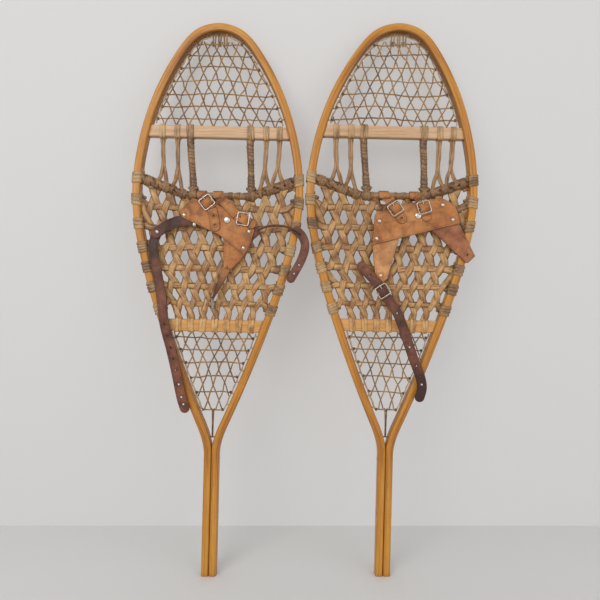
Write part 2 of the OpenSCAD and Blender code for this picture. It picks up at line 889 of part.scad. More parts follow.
right_plate_rivets();
right_toe_strap_a();
right_toe_strap_b();
right_buckle_chapes();
placed_buckle(RIGHT, right_a, buckle_front, right_a_turn);  // right_buckle_a
placed_buckle(RIGHT, right_b, buckle_front, right_b_turn);  // right_buckle_b
placed_tongue(RIGHT, right_a, buckle_front, right_a_turn);  // right_tongue_a
placed_tongue(RIGHT, right_b, buckle_front, right_b_turn);  // right_tongue_b
right_heel_strap();
right_heel_chape();
right_heel_rivet();
placed_buckle(RIGHT, right_heel, heel_buckle_front, right_heel_turn);  // right_heel_buckle
placed_tongue(RIGHT, right_heel, heel_buckle_front, right_heel_turn);  // right_heel_tongue
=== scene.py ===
import json
import math

import bmesh
import bpy
import numpy as np
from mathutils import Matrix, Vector


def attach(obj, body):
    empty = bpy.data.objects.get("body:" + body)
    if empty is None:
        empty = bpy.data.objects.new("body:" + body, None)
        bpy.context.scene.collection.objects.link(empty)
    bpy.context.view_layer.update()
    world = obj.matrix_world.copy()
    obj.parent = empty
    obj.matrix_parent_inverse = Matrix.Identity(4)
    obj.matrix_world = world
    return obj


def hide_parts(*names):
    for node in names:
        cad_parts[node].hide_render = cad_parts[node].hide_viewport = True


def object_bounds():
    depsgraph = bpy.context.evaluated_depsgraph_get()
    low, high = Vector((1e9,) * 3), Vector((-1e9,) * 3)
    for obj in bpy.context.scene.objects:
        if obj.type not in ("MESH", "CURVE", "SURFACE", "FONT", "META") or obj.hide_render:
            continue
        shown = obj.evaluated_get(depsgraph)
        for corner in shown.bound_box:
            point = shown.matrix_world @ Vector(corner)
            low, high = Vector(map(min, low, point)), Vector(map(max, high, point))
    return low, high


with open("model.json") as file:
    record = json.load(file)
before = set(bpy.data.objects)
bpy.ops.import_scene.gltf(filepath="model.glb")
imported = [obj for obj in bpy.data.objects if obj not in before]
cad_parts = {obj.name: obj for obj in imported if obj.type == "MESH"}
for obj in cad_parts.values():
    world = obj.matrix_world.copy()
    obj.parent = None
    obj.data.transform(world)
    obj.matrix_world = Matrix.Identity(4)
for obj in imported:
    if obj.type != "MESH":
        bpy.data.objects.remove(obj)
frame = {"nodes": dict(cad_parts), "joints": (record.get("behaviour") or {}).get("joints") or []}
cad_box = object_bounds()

# Looks for a pair of long-tailed snowshoes. Lengths are millimetres in one snowshoe's own frame:
# u across, d towards the walking side, w up from the tail. Shoe.world() turns them into the row frame.

MM = 0.001
JOINTS = {j["name"]: j for j in frame["joints"]}

# Driving values of the frame, shared with the CAD
CORD_AT = 744.0
WIDE_AT = 750.0
HALF_W = 167.0
TOE_H = 330.0
TOE_BEND = {-1: -4.0, 1: 8.0}
STRIP_W = 15.6
STRIP_D = 22.0
TAIL_HALF = 14.6
TAIL_TOP = 235.0
STATIONS = [
    (TAIL_TOP, TAIL_HALF, 0.0),
    (290.0, 28.5, 0.44),
    (469.0, 100.0, 0.36),
    (609.0, 145.0, 0.26),
    (WIDE_AT, HALF_W, 0.0),
]
FRONT_BAR = (856.0, 879.5)
REAR_BAR = (477.0, 500.5)
BAR_D = 14.0
CORD_STRAIGHT = 64.0
CORD_RISE = 0.36
WRAPS = [778, 732, 685, 638, 599, 560, 521]
WEB_ROWS = [514, 549, 583, 619, 661, 699, 740]
BANDS = (-57, 61)
LIFTERS = (-111, -82, 92, 118)
CORD_FEET = (-49, 64.5)

# The weaves: heights of the rows of crossings, widest pitches, how far single crossings stray, and
# where each snowshoe's random numbers start
TOE_ROWS = [893, 918, 944, 970, 995, 1020, 1041]
TAIL_ROWS = [465 - 22.5 * k - 1.15 * k * k for k in (5, 4, 3, 2, 1, 0, -1)]
TOE_PITCH = 24.0
TAIL_PITCH = 22.0
WEB_PITCH = 31.0
STRAY = 0.8
SEEDS = {-1: 7, 1: 19}


# ---- Outline of a frame ----

def web_pitch(w):
    """The distance between neighbouring holes of the heavy webbing at a height."""
    return min(WEB_PITCH, 24.6 + (w - WEB_ROWS[0]) * 0.07)


def toe_pitch(w):
    """The distance between neighbouring crossings of the toe lacing at a height."""
    return TOE_PITCH - 0.055 * max(0.0, w - 950)


def cord_height(u):
    """The toe cord's height. It is level in the middle and rises to the rails."""
    return CORD_AT + max(0.0, abs(u) - CORD_STRAIGHT) * CORD_RISE


def hermite(a, b, t):
    s = b[0] - a[0]
    q, c = t * t, t * t * t
    return (
        (2 * c - 3 * q + 1) * a[1] + (c - 2 * q + t) * s * a[2]
        + (3 * q - 2 * c) * b[1] + (c - q) * s * b[2]
    )


def toe_half(t):
    """Half width of the toe at a share t of its height: a superellipse with a fuller tip."""
    return HALF_W * (max(0.0, 1 - t ** 1.8) ** 0.58 + 0.65 * t ** 14 * (1 - t) ** 0.6)


def half_at(w):
    """Half width over the rails at a height."""
    if w <= TAIL_TOP:
        return TAIL_HALF
    if w >= WIDE_AT:
        return toe_half(min(1.0, (w - WIDE_AT) / TOE_H))
    for a, b in zip(STATIONS, STATIONS[1:]):
        if w <= b[0]:
            return hermite(a, b, (w - a[0]) / (b[0] - a[0]))


def bend_at(w, side):
    """How far the toe has drifted to one side at a height."""
    return TOE_BEND[side] * (max(0.0, w - 700) / 380) ** 2


def even(points, step):
    """The same polyline with evenly spaced points."""
    points = np.asarray(points, float)
    length = np.r_[0, np.cumsum(np.linalg.norm(np.diff(points, axis=0), axis=1))]
    count = max(2, int(round(length[-1] / step)) + 1)
    at = np.linspace(0, length[-1], count)
    return np.stack([np.interp(at, length, points[:, i]) for i in range(points.shape[1])], 1)


def smooth(points, n):
    """A Catmull-Rom curve through points, with n steps between neighbours."""
    p = np.asarray(points, float)
    p = np.vstack([2 * p[0] - p[1], p, 2 * p[-1] - p[-2]])
    out = []
    for a, b, c, d in zip(p, p[1:], p[2:], p[3:]):
        for t in np.arange(n) / n:
            out.append(
                (2 * b + (c - a) * t + (2 * a - 5 * b + 4 * c - d) * t * t
                 + (3 * b - a - 3 * c + d) * t ** 3) / 2
            )
    out.append(p[-2])
    return np.array(out)


def laid(points, n, step):
    """An even path along a smooth curve through points, and the length at each of its points."""
    path = even(smooth(points, n), step)
    return path, np.arange(len(path)) * step


def unit(v):
    return v / np.maximum(np.linalg.norm(v, axis=-1, keepdims=True), 1e-9)


def step_up(x, start, end):
    """0 at start, 1 at end, and smooth between."""
    t = np.clip((x - start) / (end - start), 0, 1)
    return t * t * (3 - 2 * t)


def bump_at(x, centre, width):
    """1 at centre, falling to 0 on both sides."""
    return np.exp(-((x - centre) / width) ** 2)


class Shoe:
    """One snowshoe's frame, taken from its binding's pivot on the toe cord."""

    def __init__(self, side):
        self.side = side
        self.name = "left" if side < 0 else "right"
        pivot = JOINTS[self.name + "_binding_pivot"]
        self.across = -np.array(pivot["axis"], float)
        self.up = np.cross(self.across, (0.0, 1.0, 0.0))
        self.tail = np.array(pivot["pos_m"], float) - CORD_AT * MM * self.up
        self.rng = np.random.default_rng(SEEDS[side])
        right = [(TAIL_HALF, w) for w in np.arange(-6, TAIL_TOP, 4)]
        right += [(half_at(w), w) for w in np.arange(TAIL_TOP, WIDE_AT, 4)]
        right += [
            (toe_half(t), WIDE_AT + TOE_H * t)
            for t in np.sin(np.radians(np.arange(0, 90, 1.5))) ** 1.111
        ]
        right.append((0.0, WIDE_AT + TOE_H))
        left = [(-u, w) for u, w in reversed(right[:-1])]
        self.outer = even([(u + bend_at(w, side), w) for u, w in right + left], 4.0)
        along = np.gradient(self.outer, axis=0)
        self.inward = unit(np.stack([-along[:, 1], along[:, 0]], 1))
        # The strip is a little narrower in the tail, where the two ends lie together
        self.strip = np.minimum(STRIP_W, np.abs(self.outer[:, 0]) - 0.3)
        self.strip[self.outer[:, 1] > 300] = STRIP_W
        self.inner = self.outer + self.inward * self.strip[:, None]
        rail = self.inner[:len(self.outer) // 2]
        rail = rail[rail[:, 1] > 240]
        self.rail_w = rail[:, 1]
        self.rail_u = rail[:, 0] - np.array([bend_at(w, side) for w in self.rail_w])

    def world(self, co):
        co = np.asarray(co, float)
        out = self.tail + MM * (co[:, :1] * self.across + co[:, 2:] * self.up)
        out[:, 1] -= MM * co[:, 1]
        return out

    def local(self, co):
        rel = (np.asarray(co, float) - self.tail) / MM
        return np.stack([rel @ self.across, -rel[:, 1], rel @ self.up], 1)

    def node(self, name):
        """The vertices of one of its CAD nodes, in its own frame."""
        return self.local(np.array([v.co for v in frame["nodes"][f"{self.name}_{name}"].data.vertices]))

    def joint(self, name):
        """The place of one of its joints, in its own frame."""
        return self.local(np.array([JOINTS[f"{self.name}_{name}"]["pos_m"]]))[0]

    def inner_at(self, w):
        """Half width of the opening between the rails at a height."""
        return float(np.interp(w, self.rail_w, self.rail_u, right=0.0))

    def bend(self, w):
        return bend_at(w, self.side)


# ---- Building meshes ----

def add_object(name, mesh):
    obj = bpy.data.objects.new(name, mesh)
    bpy.context.scene.collection.objects.link(obj)
    return obj


def store(mesh, key, rows):
    """Gives each vertex a number or a vector for the materials to read."""
    rows = np.asarray(rows, np.float32)
    kind, field = ("FLOAT", "value") if rows.ndim == 1 else ("FLOAT_VECTOR", "vector")
    mesh.attributes.new(key, kind, "POINT").data.foreach_set(field, rows.ravel())


def settle(shoe, obj, material, node, body):
    """Gives a piece its material and smooth shading, puts it under its body, and hides the CAD node that
    it stands for.
    """
    obj.data.materials.clear()
    obj.data.materials.append(material)
    obj.data.polygons.foreach_set("use_smooth", np.ones(len(obj.data.polygons), bool))
    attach(obj, f"{shoe.name}_{body}")
    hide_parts(f"{shoe.name}_{node}")
    return obj


class Shape:
    """Collects the parts of one piece of a snowshoe, with the attributes that its material reads."""

    def __init__(self, shoe):
        self.shoe = shoe
        self.co, self.faces, self.grain, self.tone, self.dirt = [], [], [], [], []
        self.count = 0

    def add(self, co, faces, grain, tone, dirt):
        n = len(co)
        self.co.append(co)
        self.faces += [tuple(i + self.count for i in f) for f in faces]
        self.grain.append(grain)
        self.tone.append(np.broadcast_to(tone, n))
        self.dirt.append(np.clip(np.broadcast_to(dirt, n), 0, 1))
        self.count += n

    def piece(self, name, material, node, body="shoe"):
        """Makes the piece. Its name, CAD node and body are given without left or right."""
        name = f"{self.shoe.name}_{name}"
        mesh = bpy.data.meshes.new(name)
        mesh.from_pydata(self.shoe.world(np.vstack(self.co)).tolist(), [], self.faces)
        store(mesh, "grain", np.vstack(self.grain) * MM)
        store(mesh, "tone", np.concatenate(self.tone))
        # This darkening is partly real grime and stains, and partly painted shade: hollows of twisted
        # strands, the frame's inner face, the crossbars' lower edges, a strap behind a tab
        store(mesh, "dirt", np.concatenate(self.dirt))
        return settle(self.shoe, add_object(name, mesh), material, node, body)


def padded(rows):
    """Rows with the first and the last one repeated three times more, for rounded ends."""
    return np.concatenate([np.repeat(rows[:1], 3, 0), rows, np.repeat(rows[-1:], 3, 0)])


def grid_faces(rings, m, closed=False):
    """Faces over rings of m points each, with flat caps unless the rings close on themselves."""
    faces = []
    for i in range(rings if closed else rings - 1):
        j = (i + 1) % rings
        for k in range(m):
            q = (k + 1) % m
            faces.append((i * m + k, j * m + k, j * m + q, i * m + q))
    if not closed:
        faces.append(tuple(range(m)))
        faces.append(tuple((rings - 1) * m + k for k in reversed(range(m))))
    return faces


def tube(shape, path, half, thick=None, ref=(0, 1, 0), sides=10, power=1.0, ripple=None,
         tone=0.5, dirt=0.0, groove_shade=0.0, edge=0.0, closed=False, rounded=True, shift=None):
    """A strand along a path. half is its half width across ref, thick its half thickness along ref.
    ripple(s, angle) scales its section, and groove paints shade into the places where that is low, the
    hollows between twists and rings.
    edge darkens both edges of a flat strand."""
    path = np.asarray(path, float)
    n = len(path)
    if closed:
        t = unit(np.roll(path, -1, 0) - np.roll(path, 1, 0))
    else:
        t = unit(np.gradient(path, axis=0))
    half = np.broadcast_to(half, n)
    thick = half if thick is None else np.broadcast_to(thick, n)
    ref = np.broadcast_to(ref, (n, 3))
    dirt = np.broadcast_to(dirt, n)
    scale = np.ones(n)
    if rounded and not closed:
        r = max(half[0], thick[0]) * 0.8
        turns = np.radians([85, 60, 30])
        head = path[0] - t[0] * r * np.sin(turns)[:, None]
        tail = path[-1] + t[-1] * r * np.sin(turns[::-1])[:, None]
        path = np.vstack([head, path, tail])
        scale = np.r_[np.cos(turns), scale, np.cos(turns[::-1])]
        t, half, thick, ref, dirt = (padded(rows) for rows in (t, half, thick, ref, dirt))
        n = len(path)
    s = np.r_[0, np.cumsum(np.linalg.norm(np.diff(path, axis=0), axis=1))]
    side = unit(np.cross(t, ref))
    front = np.cross(side, t)
    angle = np.linspace(0, 2 * math.pi, sides, endpoint=False)
    ca = np.sign(np.cos(angle)) * np.abs(np.cos(angle)) ** power
    sa = np.sign(np.sin(angle)) * np.abs(np.sin(angle)) ** power
    k = np.ones((n, sides))
    if ripple is not None:
        k = ripple(s[:, None], angle[None, :]) * k
    # Painted shade in the hollows of the section, and darker edges on flat strands
    low = np.clip((1 - k) * groove_shade, 0, 1) + edge * np.abs(np.cos(angle))[None, :] ** 4
    k = k * scale[:, None]
    a = half[:, None] * ca[None, :] * k
    b = thick[:, None] * sa[None, :] * k
    co = path[:, None, :] + a[..., None] * side[:, None, :] + b[..., None] * front[:, None, :]
    offset = shape.count * 0.37 % 400 if shift is None else shift
    grain = np.stack([a, b, np.broadcast_to(s[:, None] + offset, a.shape)], -1)
    shape.add(
        co.reshape(-1, 3), grid_faces(n, sides, closed), grain.reshape(-1, 3), tone,
        (dirt[:, None] + low).ravel(),
    )


def loft(shape, rings, grain, dirt):
    """A solid through rings of equal length, which run the other way round from a tube's."""
    faces = [f[:1] + f[:0:-1] for f in grid_faces(len(rings), len(rings[0]))]
    shape.add(np.vstack(rings), faces, np.vstack(grain), 0.5, dirt)


def lathe(shape, centre, axis, profile, sides=20):
    """A turned shape: profile rows are (radius, height along axis), from the back to the front."""
    axis = unit(np.asarray(axis, float))
    other = unit(np.cross(axis, (0.3, 0.2, 0.93)))
    third = np.cross(axis, other)
    angle = np.linspace(0, 2 * math.pi, sides, endpoint=False)[::-1, None]
    round_axis = other * np.cos(angle) + third * np.sin(angle)
    rings = [centre + axis * h + r * round_axis for r, h in profile]
    loft(shape, rings, [ring - centre for ring in rings], 0.0)


def rounded_section(half_a, half_b, radius, per_corner=5):
    """Points round a rounded rectangle, as (a, b)."""
    points = []
    for cx, cy, start in (
        (half_a - radius, half_b - radius, 0), (radius - half_a, half_b - radius, 90),
        (radius - half_a, radius - half_b, 180), (half_a - radius, radius - half_b, 270),
    ):
        for i in range(per_corner):
            a = math.radians(start + 90 * i / (per_corner - 1))
            points.append((cx + radius * math.cos(a), cy + radius * math.sin(a)))
    return np.array(points)


def islands(shoe, node):
    """The vertices of each separate solid of a CAD node, in the snowshoe's frame."""
    bm = bmesh.new()
    bm.from_mesh(frame["nodes"][f"{shoe.name}_{node}"].data)
    bmesh.ops.remove_doubles(bm, verts=bm.verts, dist=1e-6)
    bm.verts.ensure_lookup_table()
    seen, found = set(), []
    for start in bm.verts:
        if start.index in seen:
            continue
        stack, group = [start], []
        seen.add(start.index)
        while stack:
            v = stack.pop()
            group.append(v.co[:])
            for e in v.link_edges:
                o = e.other_vert(v)
                if o.index not in seen:
                    seen.add(o.index)
                    stack.append(o)
        found.append(shoe.local(np.array(group)))
    bm.free()
    return found


# ---- Materials ----

def shaded(colour, by, plus=0.0):
    """A colour made darker or paler."""
    return tuple(min(1.0, c * by + plus) for c in colour)


class Graph:
    """Builds one material's nodes."""

    def __init__(self, name):
        self.material = bpy.data.materials.new(name)
        self.material.use_nodes = True
        self.tree = self.material.node_tree
        self.tree.nodes.clear()

    def add(self, kind, inputs=None, out=0, **settings):
        node = self.tree.nodes.new(kind)
        for key, value in settings.items():
            setattr(node, key, value)
        for key, value in (inputs or {}).items():
            socket = node.inputs[key]
            if isinstance(value, bpy.types.NodeSocket):
                self.tree.links.new(value, socket)
            else:
                socket.default_value = value
        return node.outputs[out] if node.outputs else node

    def attribute(self, name, out="Fac"):
        return self.add("ShaderNodeAttribute", attribute_name=name, out=out)

    def place(self):
        return self.add("ShaderNodeTexCoord", out="Object")

    def math(self, operation, a, b=0.0, clamp=False):
        return self.add("ShaderNodeMath", {0: a, 1: b}, operation=operation, use_clamp=clamp)

    def times(self, a, b):
        return self.math("MULTIPLY", a, b)

    def plus(self, a, b):
        return self.math("ADD", a, b)

    def scaled(self, vector, factors):
        return self.add("ShaderNodeVectorMath", {0: vector, 1: factors}, operation="MULTIPLY")

    def moved(self, vector, by):
        return self.add("ShaderNodeVectorMath", {0: vector, 1: by}, operation="ADD")

    def noise(self, vector, scale, detail, distortion=0.0, out="Fac"):
        return self.add("ShaderNodeTexNoise", {
            "Vector": vector, "Scale": scale, "Detail": detail, "Distortion": distortion,
        }, out=out)

    def streaks(self, vector, scales, detail, distortion=0.0, out="Fac"):
        """Noise with its own scale in each direction."""
        return self.noise(self.scaled(vector, scales), 1.0, detail, distortion, out)

    def spread(self, value, low, high, to_low=0.0, to_high=1.0):
        return self.add("ShaderNodeMapRange", {
            "Value": value, "From Min": low, "From Max": high, "To Min": to_low, "To Max": to_high,
        })

    def ramp(self, value, stops):
        node = self.tree.nodes.new("ShaderNodeValToRGB")
        while len(node.color_ramp.elements) < len(stops):
            node.color_ramp.elements.new(0.5)
        for element, (at, colour) in zip(node.color_ramp.elements, stops):
            element.position = at
            element.color = (*colour, 1.0)
        self.tree.links.new(value, node.inputs[0])
        return node.outputs[0]

    def mix(self, factor, a, b):
        """Mixes two colours. The node's colour sockets are its inputs 6 and 7 and its output 2."""
        a, b = (c if isinstance(c, bpy.types.NodeSocket) else (*c, 1.0) for c in (a, b))
        return self.add("ShaderNodeMix", {0: factor, 6: a, 7: b}, out=2, data_type="RGBA")

    def bump(self, height, distance, strength):
        return self.add("ShaderNodeBump", {
            "Height": height, "Distance": distance, "Strength": strength,
        })

    def finish(self, shader):
        self.add("ShaderNodeOutputMaterial", {"Surface": shader})
        return self.material

    def principled(self, inputs):
        return self.finish(self.add("ShaderNodeBsdfPrincipled", inputs))


def wood(name, light, mid, dark, ring_scale, rough):
    """Varnished wood whose grain follows the strip."""
    g = Graph(name)
    grain = g.attribute("grain", "Vector")
    slow = g.streaks(grain, (60, 60, 5), 3.0)
    fine = g.streaks(grain, (700, 700, 11), 4.0)
    pores = g.spread(g.streaks(grain, (2600, 2600, 70), 2.0), 0.58, 0.72)
    scuffs = g.spread(g.streaks(grain, (160, 160, 40), 5.0, 0.8), 0.66, 0.76)
    sway = g.scaled(g.streaks(grain, (22, 22, 2.4), 2.0, out="Color"), (0.012, 0.012, 0.0))
    rings = g.add("ShaderNodeTexWave", {
        "Vector": g.moved(g.scaled(grain, (1.0, 0.6, 0.02)), sway), "Scale": ring_scale,
        "Distortion": 1.2, "Detail": 2.0, "Detail Scale": 1.4,
    }, out="Fac", bands_direction="X")
    body = g.plus(g.times(slow, 0.55), g.times(fine, 0.45))
    colour = g.ramp(body, [(0.36, dark), (0.48, mid), (0.62, light)])
    colour = g.mix(g.times(g.spread(rings, 0.35, 1.0), 0.5), colour, dark)
    colour = g.mix(g.times(pores, 0.45), colour, shaded(dark, 0.45))
    colour = g.mix(g.times(scuffs, 0.28), colour, shaded(light, 1.5, 0.05))
    # Painted shade on the frame's inner face and under the toe, and along the crossbars' lower edges; also
    # darker at the frame's feet and in the scored line
    colour = g.mix(g.attribute("dirt"), colour, shaded(dark, 0.32))
    return g.principled({
        "Base Color": colour,
        "Roughness": g.plus(g.plus(g.times(fine, 0.22), g.times(scuffs, 0.2)), rough),
        "Coat Weight": 0.2, "Coat Roughness": 0.22, "Specular IOR Level": 0.35,
        "Normal": g.bump(g.math("SUBTRACT", g.times(fine, 0.6), pores), 0.00025, 0.5),
    })


def rawhide(name, light, mid, dark, edge):
    """Varnished rawhide: fibres run along each strand, with stains, worn places, and darkening that is
    partly grime and partly painted shade in the hollows of twisted strands.
    """
    g = Graph(name)
    place = g.place()
    fibres = g.streaks(g.attribute("grain", "Vector"), (900, 900, 60), 4.0, 0.4)
    blotch = g.noise(place, 42.0, 4.0, 0.5)
    fine = g.noise(place, 900.0, 3.0)
    body = g.plus(g.times(fibres, 0.5), g.times(blotch, 0.5))
    tone = g.math("SUBTRACT", g.attribute("tone"), 0.5)
    colour = g.ramp(g.plus(body, g.times(tone, 0.22)), [(0.38, dark), (0.48, mid), (0.60, light)])
    worn = g.spread(g.noise(place, 120.0, 5.0, 1.0), 0.62, 0.74)
    colour = g.mix(g.times(worn, 0.3), colour, shaded(light, 1.35, 0.03))
    stain = g.spread(g.noise(place, 70.0, 5.0, 0.9), 0.54, 0.72)
    colour = g.mix(g.times(stain, 0.4), colour, dark)
    patchy = g.spread(blotch, 0.25, 0.6, 0.65, 1.0)
    # Patches of grime, and painted shade in the hollows of twisted and ringed strands, mixed towards the
    # edge colour
    crease = g.math("MULTIPLY", g.attribute("dirt"), patchy, clamp=True)
    return g.principled({
        "Base Color": g.mix(crease, colour, edge),
        "Roughness": g.plus(g.times(blotch, 0.25), 0.34),
        "Coat Weight": 0.3, "Coat Roughness": 0.24, "Specular IOR Level": 0.4,
        "Normal": g.bump(g.plus(fibres, g.times(fine, 0.35)), 0.0007, 0.6),
    })


def leather(name, light, mid, dark, edge, stain, stain_amount, rough):
    """Old strap leather: pebbled grain, creases, smudges, scratches, a tooled line and dark edges."""
    g = Graph(name)
    place = g.place()
    rim = g.attribute("rim")
    mottle = g.noise(place, 160.0, 5.0, 0.3)
    pebble = g.add("ShaderNodeTexVoronoi", {"Vector": place, "Scale": 1150.0})
    bent = g.moved(place, g.scaled(g.noise(place, 90.0, 3.0, out="Color"), (0.006, 0.006, 0.006)))
    crease = g.add(
        "ShaderNodeTexVoronoi", {"Vector": bent, "Scale": 95.0}, feature="DISTANCE_TO_EDGE",
    )
    crease = g.spread(crease, 0.0, 0.06, 1.0, 0.0)
    body = g.plus(g.times(g.noise(place, 26.0, 4.0, 0.6), 0.7), g.times(mottle, 0.3))
    colour = g.ramp(body, [(0.36, dark), (0.5, mid), (0.64, light)])
    scratches = g.spread(g.streaks(place, (60, 60, 620), 5.0, 1.6), 0.60, 0.72)
    colour = g.mix(g.times(scratches, 0.35), colour, dark)
    smudge = g.spread(g.noise(place, 30.0, 6.0, 1.4), 0.50, 0.72)
    colour = g.mix(g.times(smudge, stain_amount), colour, stain)
    colour = g.mix(g.times(crease, 0.10), colour, dark)
    # The tooled line a few millimetres in from the rim, and the darker cut edge
    tooled = g.math("ABSOLUTE", g.math("SUBTRACT", rim, 0.0034))
    tooled = g.spread(tooled, 0.0, 0.0006, 1.0, 0.0)
    colour = g.mix(g.times(tooled, 0.45), colour, edge)
    colour = g.mix(g.times(g.spread(rim, 0.0004, 0.0018, 1.0, 0.0), 0.75), colour, edge)
    # Darker places of a piece, and painted shade where the left heel strap runs behind its tab
    colour = g.mix(g.attribute("dirt"), colour, edge)
    wear = g.spread(g.add("ShaderNodeNewGeometry", out="Pointiness"), 0.52, 0.6)
    colour = g.mix(g.times(wear, 0.3), colour, shaded(light, 1.4, 0.04))
    relief = g.plus(g.times(pebble, 0.5), g.times(mottle, 0.6))
    relief = g.math("SUBTRACT", relief, g.plus(g.times(crease, 0.5), tooled))
    return g.principled({
        "Base Color": colour,
        "Roughness": g.plus(g.times(mottle, 0.3), rough),
        "Coat Weight": 0.04, "Coat Roughness": 0.35, "Specular IOR Level": 0.32,
        "Normal": g.bump(relief, 0.0006, 0.6),
    })


def steel(name, base, tarnish, rough):
    """Worn nickel plating: fine scratches, and tarnish in patches."""
    g = Graph(name)
    place = g.place()
    spots = g.spread(g.noise(place, 210.0, 5.0, 0.6), 0.56, 0.70)
    scratch = g.streaks(place, (1800, 1800, 160), 3.0, 0.3)
    return g.principled({
        "Base Color": g.mix(g.times(spots, 0.55), base, tarnish), "Metallic": 1.0,
        "Roughness": g.plus(g.plus(g.times(spots, 0.25), g.times(scratch, 0.15)), rough),
        "Normal": g.bump(scratch, 0.0001, 0.35),
    })


ASH = wood(
    "varnished_ash", (0.66, 0.32, 0.048), (0.53, 0.218, 0.023), (0.29, 0.096, 0.012), 150.0, 0.34,
)
PALE_WOOD = wood(
    "pale_crossbar_ash", (0.70, 0.49, 0.305), (0.61, 0.38, 0.21), (0.40, 0.215, 0.095), 110.0, 0.36,
)
BAR_WOOD = wood(
    "crossbar_ash", (0.76, 0.46, 0.185), (0.66, 0.34, 0.105), (0.48, 0.21, 0.052), 110.0, 0.4,
)
HEAVY = rawhide(
    "heavy_rawhide", (0.65, 0.385, 0.145), (0.45, 0.225, 0.07), (0.21, 0.082, 0.025),
    (0.07, 0.024, 0.01),
)
WRAP = rawhide(
    "rail_wrap_rawhide", (0.54, 0.345, 0.155), (0.35, 0.20, 0.08), (0.165, 0.08, 0.031),
    (0.055, 0.021, 0.010),
)
FINE = rawhide(
    "fine_rawhide", (0.43, 0.25, 0.08), (0.28, 0.145, 0.042), (0.14, 0.064, 0.02),
    (0.05, 0.025, 0.012),
)
PALE_HIDE = rawhide(
    "pale_rawhide", (0.50, 0.35, 0.20), (0.36, 0.235, 0.125), (0.20, 0.12, 0.06),
    (0.07, 0.04, 0.02),
)
CORD = rawhide(
    "cord_rawhide", (0.41, 0.225, 0.09), (0.26, 0.13, 0.048), (0.115, 0.05, 0.02),
    (0.03, 0.012, 0.007),
)
TAN = leather(
    "tan_leather", (0.52, 0.225, 0.07), (0.43, 0.162, 0.043), (0.29, 0.094, 0.026),
    (0.05, 0.016, 0.008), (0.09, 0.032, 0.014), 0.55, 0.30,
)
PALE_TAN = leather(
    "pale_tan_leather", (0.64, 0.315, 0.13), (0.53, 0.235, 0.088), (0.37, 0.145, 0.05),
    (0.06, 0.02, 0.009), (0.12, 0.045, 0.02), 0.4, 0.30,
)
BROWN = leather(
    "brown_strap_leather", (0.24, 0.085, 0.045), (0.16, 0.052, 0.028), (0.09, 0.029, 0.018),
    (0.022, 0.010, 0.007), (0.018, 0.009, 0.007), 0.55, 0.24,
)
REDDISH = leather(
    "reddish_leather", (0.44, 0.175, 0.075), (0.35, 0.125, 0.05), (0.22, 0.07, 0.028),
    (0.045, 0.015, 0.008), (0.07, 0.024, 0.012), 0.5, 0.28,
)
OLD_NICKEL = steel("old_nickel", (0.42, 0.38, 0.32), (0.06, 0.045, 0.03), 0.26)
NICKEL = steel("nickelled_steel", (0.62, 0.58, 0.51), (0.12, 0.085, 0.055), 0.22)


# ---- Frames and crossbars ----

def frame_bow(shoe):
    shape = Shape(shoe)
    section = rounded_section(STRIP_W / 2, STRIP_D / 2, 3.6)[::-1]
    outer = shoe.outer
    above = shoe.world(np.c_[outer[:, 0], outer[:, 0] * 0, outer[:, 1]])[:, 2] > 0.003
    length = np.r_[0, np.cumsum(np.linalg.norm(np.diff(outer, axis=0), axis=1))]
    first, *middle, last = np.flatnonzero(above)
    # Its two ends stand on the floor, with a slightly smaller first ring as their worn edge
    plan = [(first, 0.9, 0.0), (first, 1.0, 1.0)] + [(i, 1.0, None) for i in middle]
    plan += [(last, 1.0, 1.0), (last, 0.9, 0.0)]
    rings, grains, dirt = [], [], []
    for i, size, floor in plan:
        a = (STRIP_W / 2 - section[:, 0] * size) / STRIP_W * shoe.strip[i]
        b = section[:, 1] * size
        flat = outer[i] + shoe.inward[i] * a[:, None]
        co = np.stack([flat[:, 0], b, flat[:, 1]], 1)
        if floor is not None:
            co[:, 2] = (floor - shoe.tail[2] / MM + co[:, 0] * -shoe.across[2]) / shoe.up[2]
        rings.append(co)
        grains.append(np.stack([a, b, np.full(len(a), length[i])], 1))
        # Painted shade along its inner face, most of all under the toe; also darker where it stands on the
        # floor, and a little at its outer edge
        w = outer[i][1]
        inner_face_shade = step_up(a, 12.5, 15.5) * (0.22 + 0.4 * step_up(w, 850, 1000))
        dirt.append(np.maximum(inner_face_shade, 0.45 if w < 3 else 0.08 * step_up(-a, -3, 0)))
    loft(shape, rings, grains, np.concatenate(dirt))
    shape.piece("bent_frame", ASH, "frame_bow")


def crossbar(shoe, span, which, material):
    shape = Shape(shoe)
    mid, half = (span[0] + span[1]) / 2, (span[1] - span[0]) / 2
    section = rounded_section(half, BAR_D / 2, 2.6)
    heights = mid + section[:, 0]
    reach = np.array([shoe.inner_at(w) for w in heights]) + 1.2
    centre = np.array([shoe.bend(w) for w in heights])
    # Each crossbar is cut from its own stretch of wood
    cut = 600 if which == "front" else 300
    rings = [
        np.stack([centre + t * reach, section[:, 1], heights], 1) for t in np.linspace(-1, 1, 41)
    ]
    grains = [np.stack([section[:, 0], section[:, 1], co[:, 0] + cut], 1) for co in rings]
    # Painted shade along the lower edge, which turns down away from the light
    lower_edge_shade = 0.5 * step_up(-section[:, 0], half - 2.4, half)
    loft(shape, rings, grains, np.tile(lower_edge_shade, len(rings)))
    if which == "front":
        # The thin line scored along the front crossbar's face
        reach = shoe.inner_at(mid) - 46
        line = [
            (shoe.bend(mid) + u, BAR_D / 2 + 0.02, mid + 0.5) for u in np.linspace(-reach, reach, 30)
        ]
        tube(shape, line, 0.35, 0.12, sides=6, dirt=0.55)
    shape.piece(f"{which}_bar", material, f"{which}_crossbar")


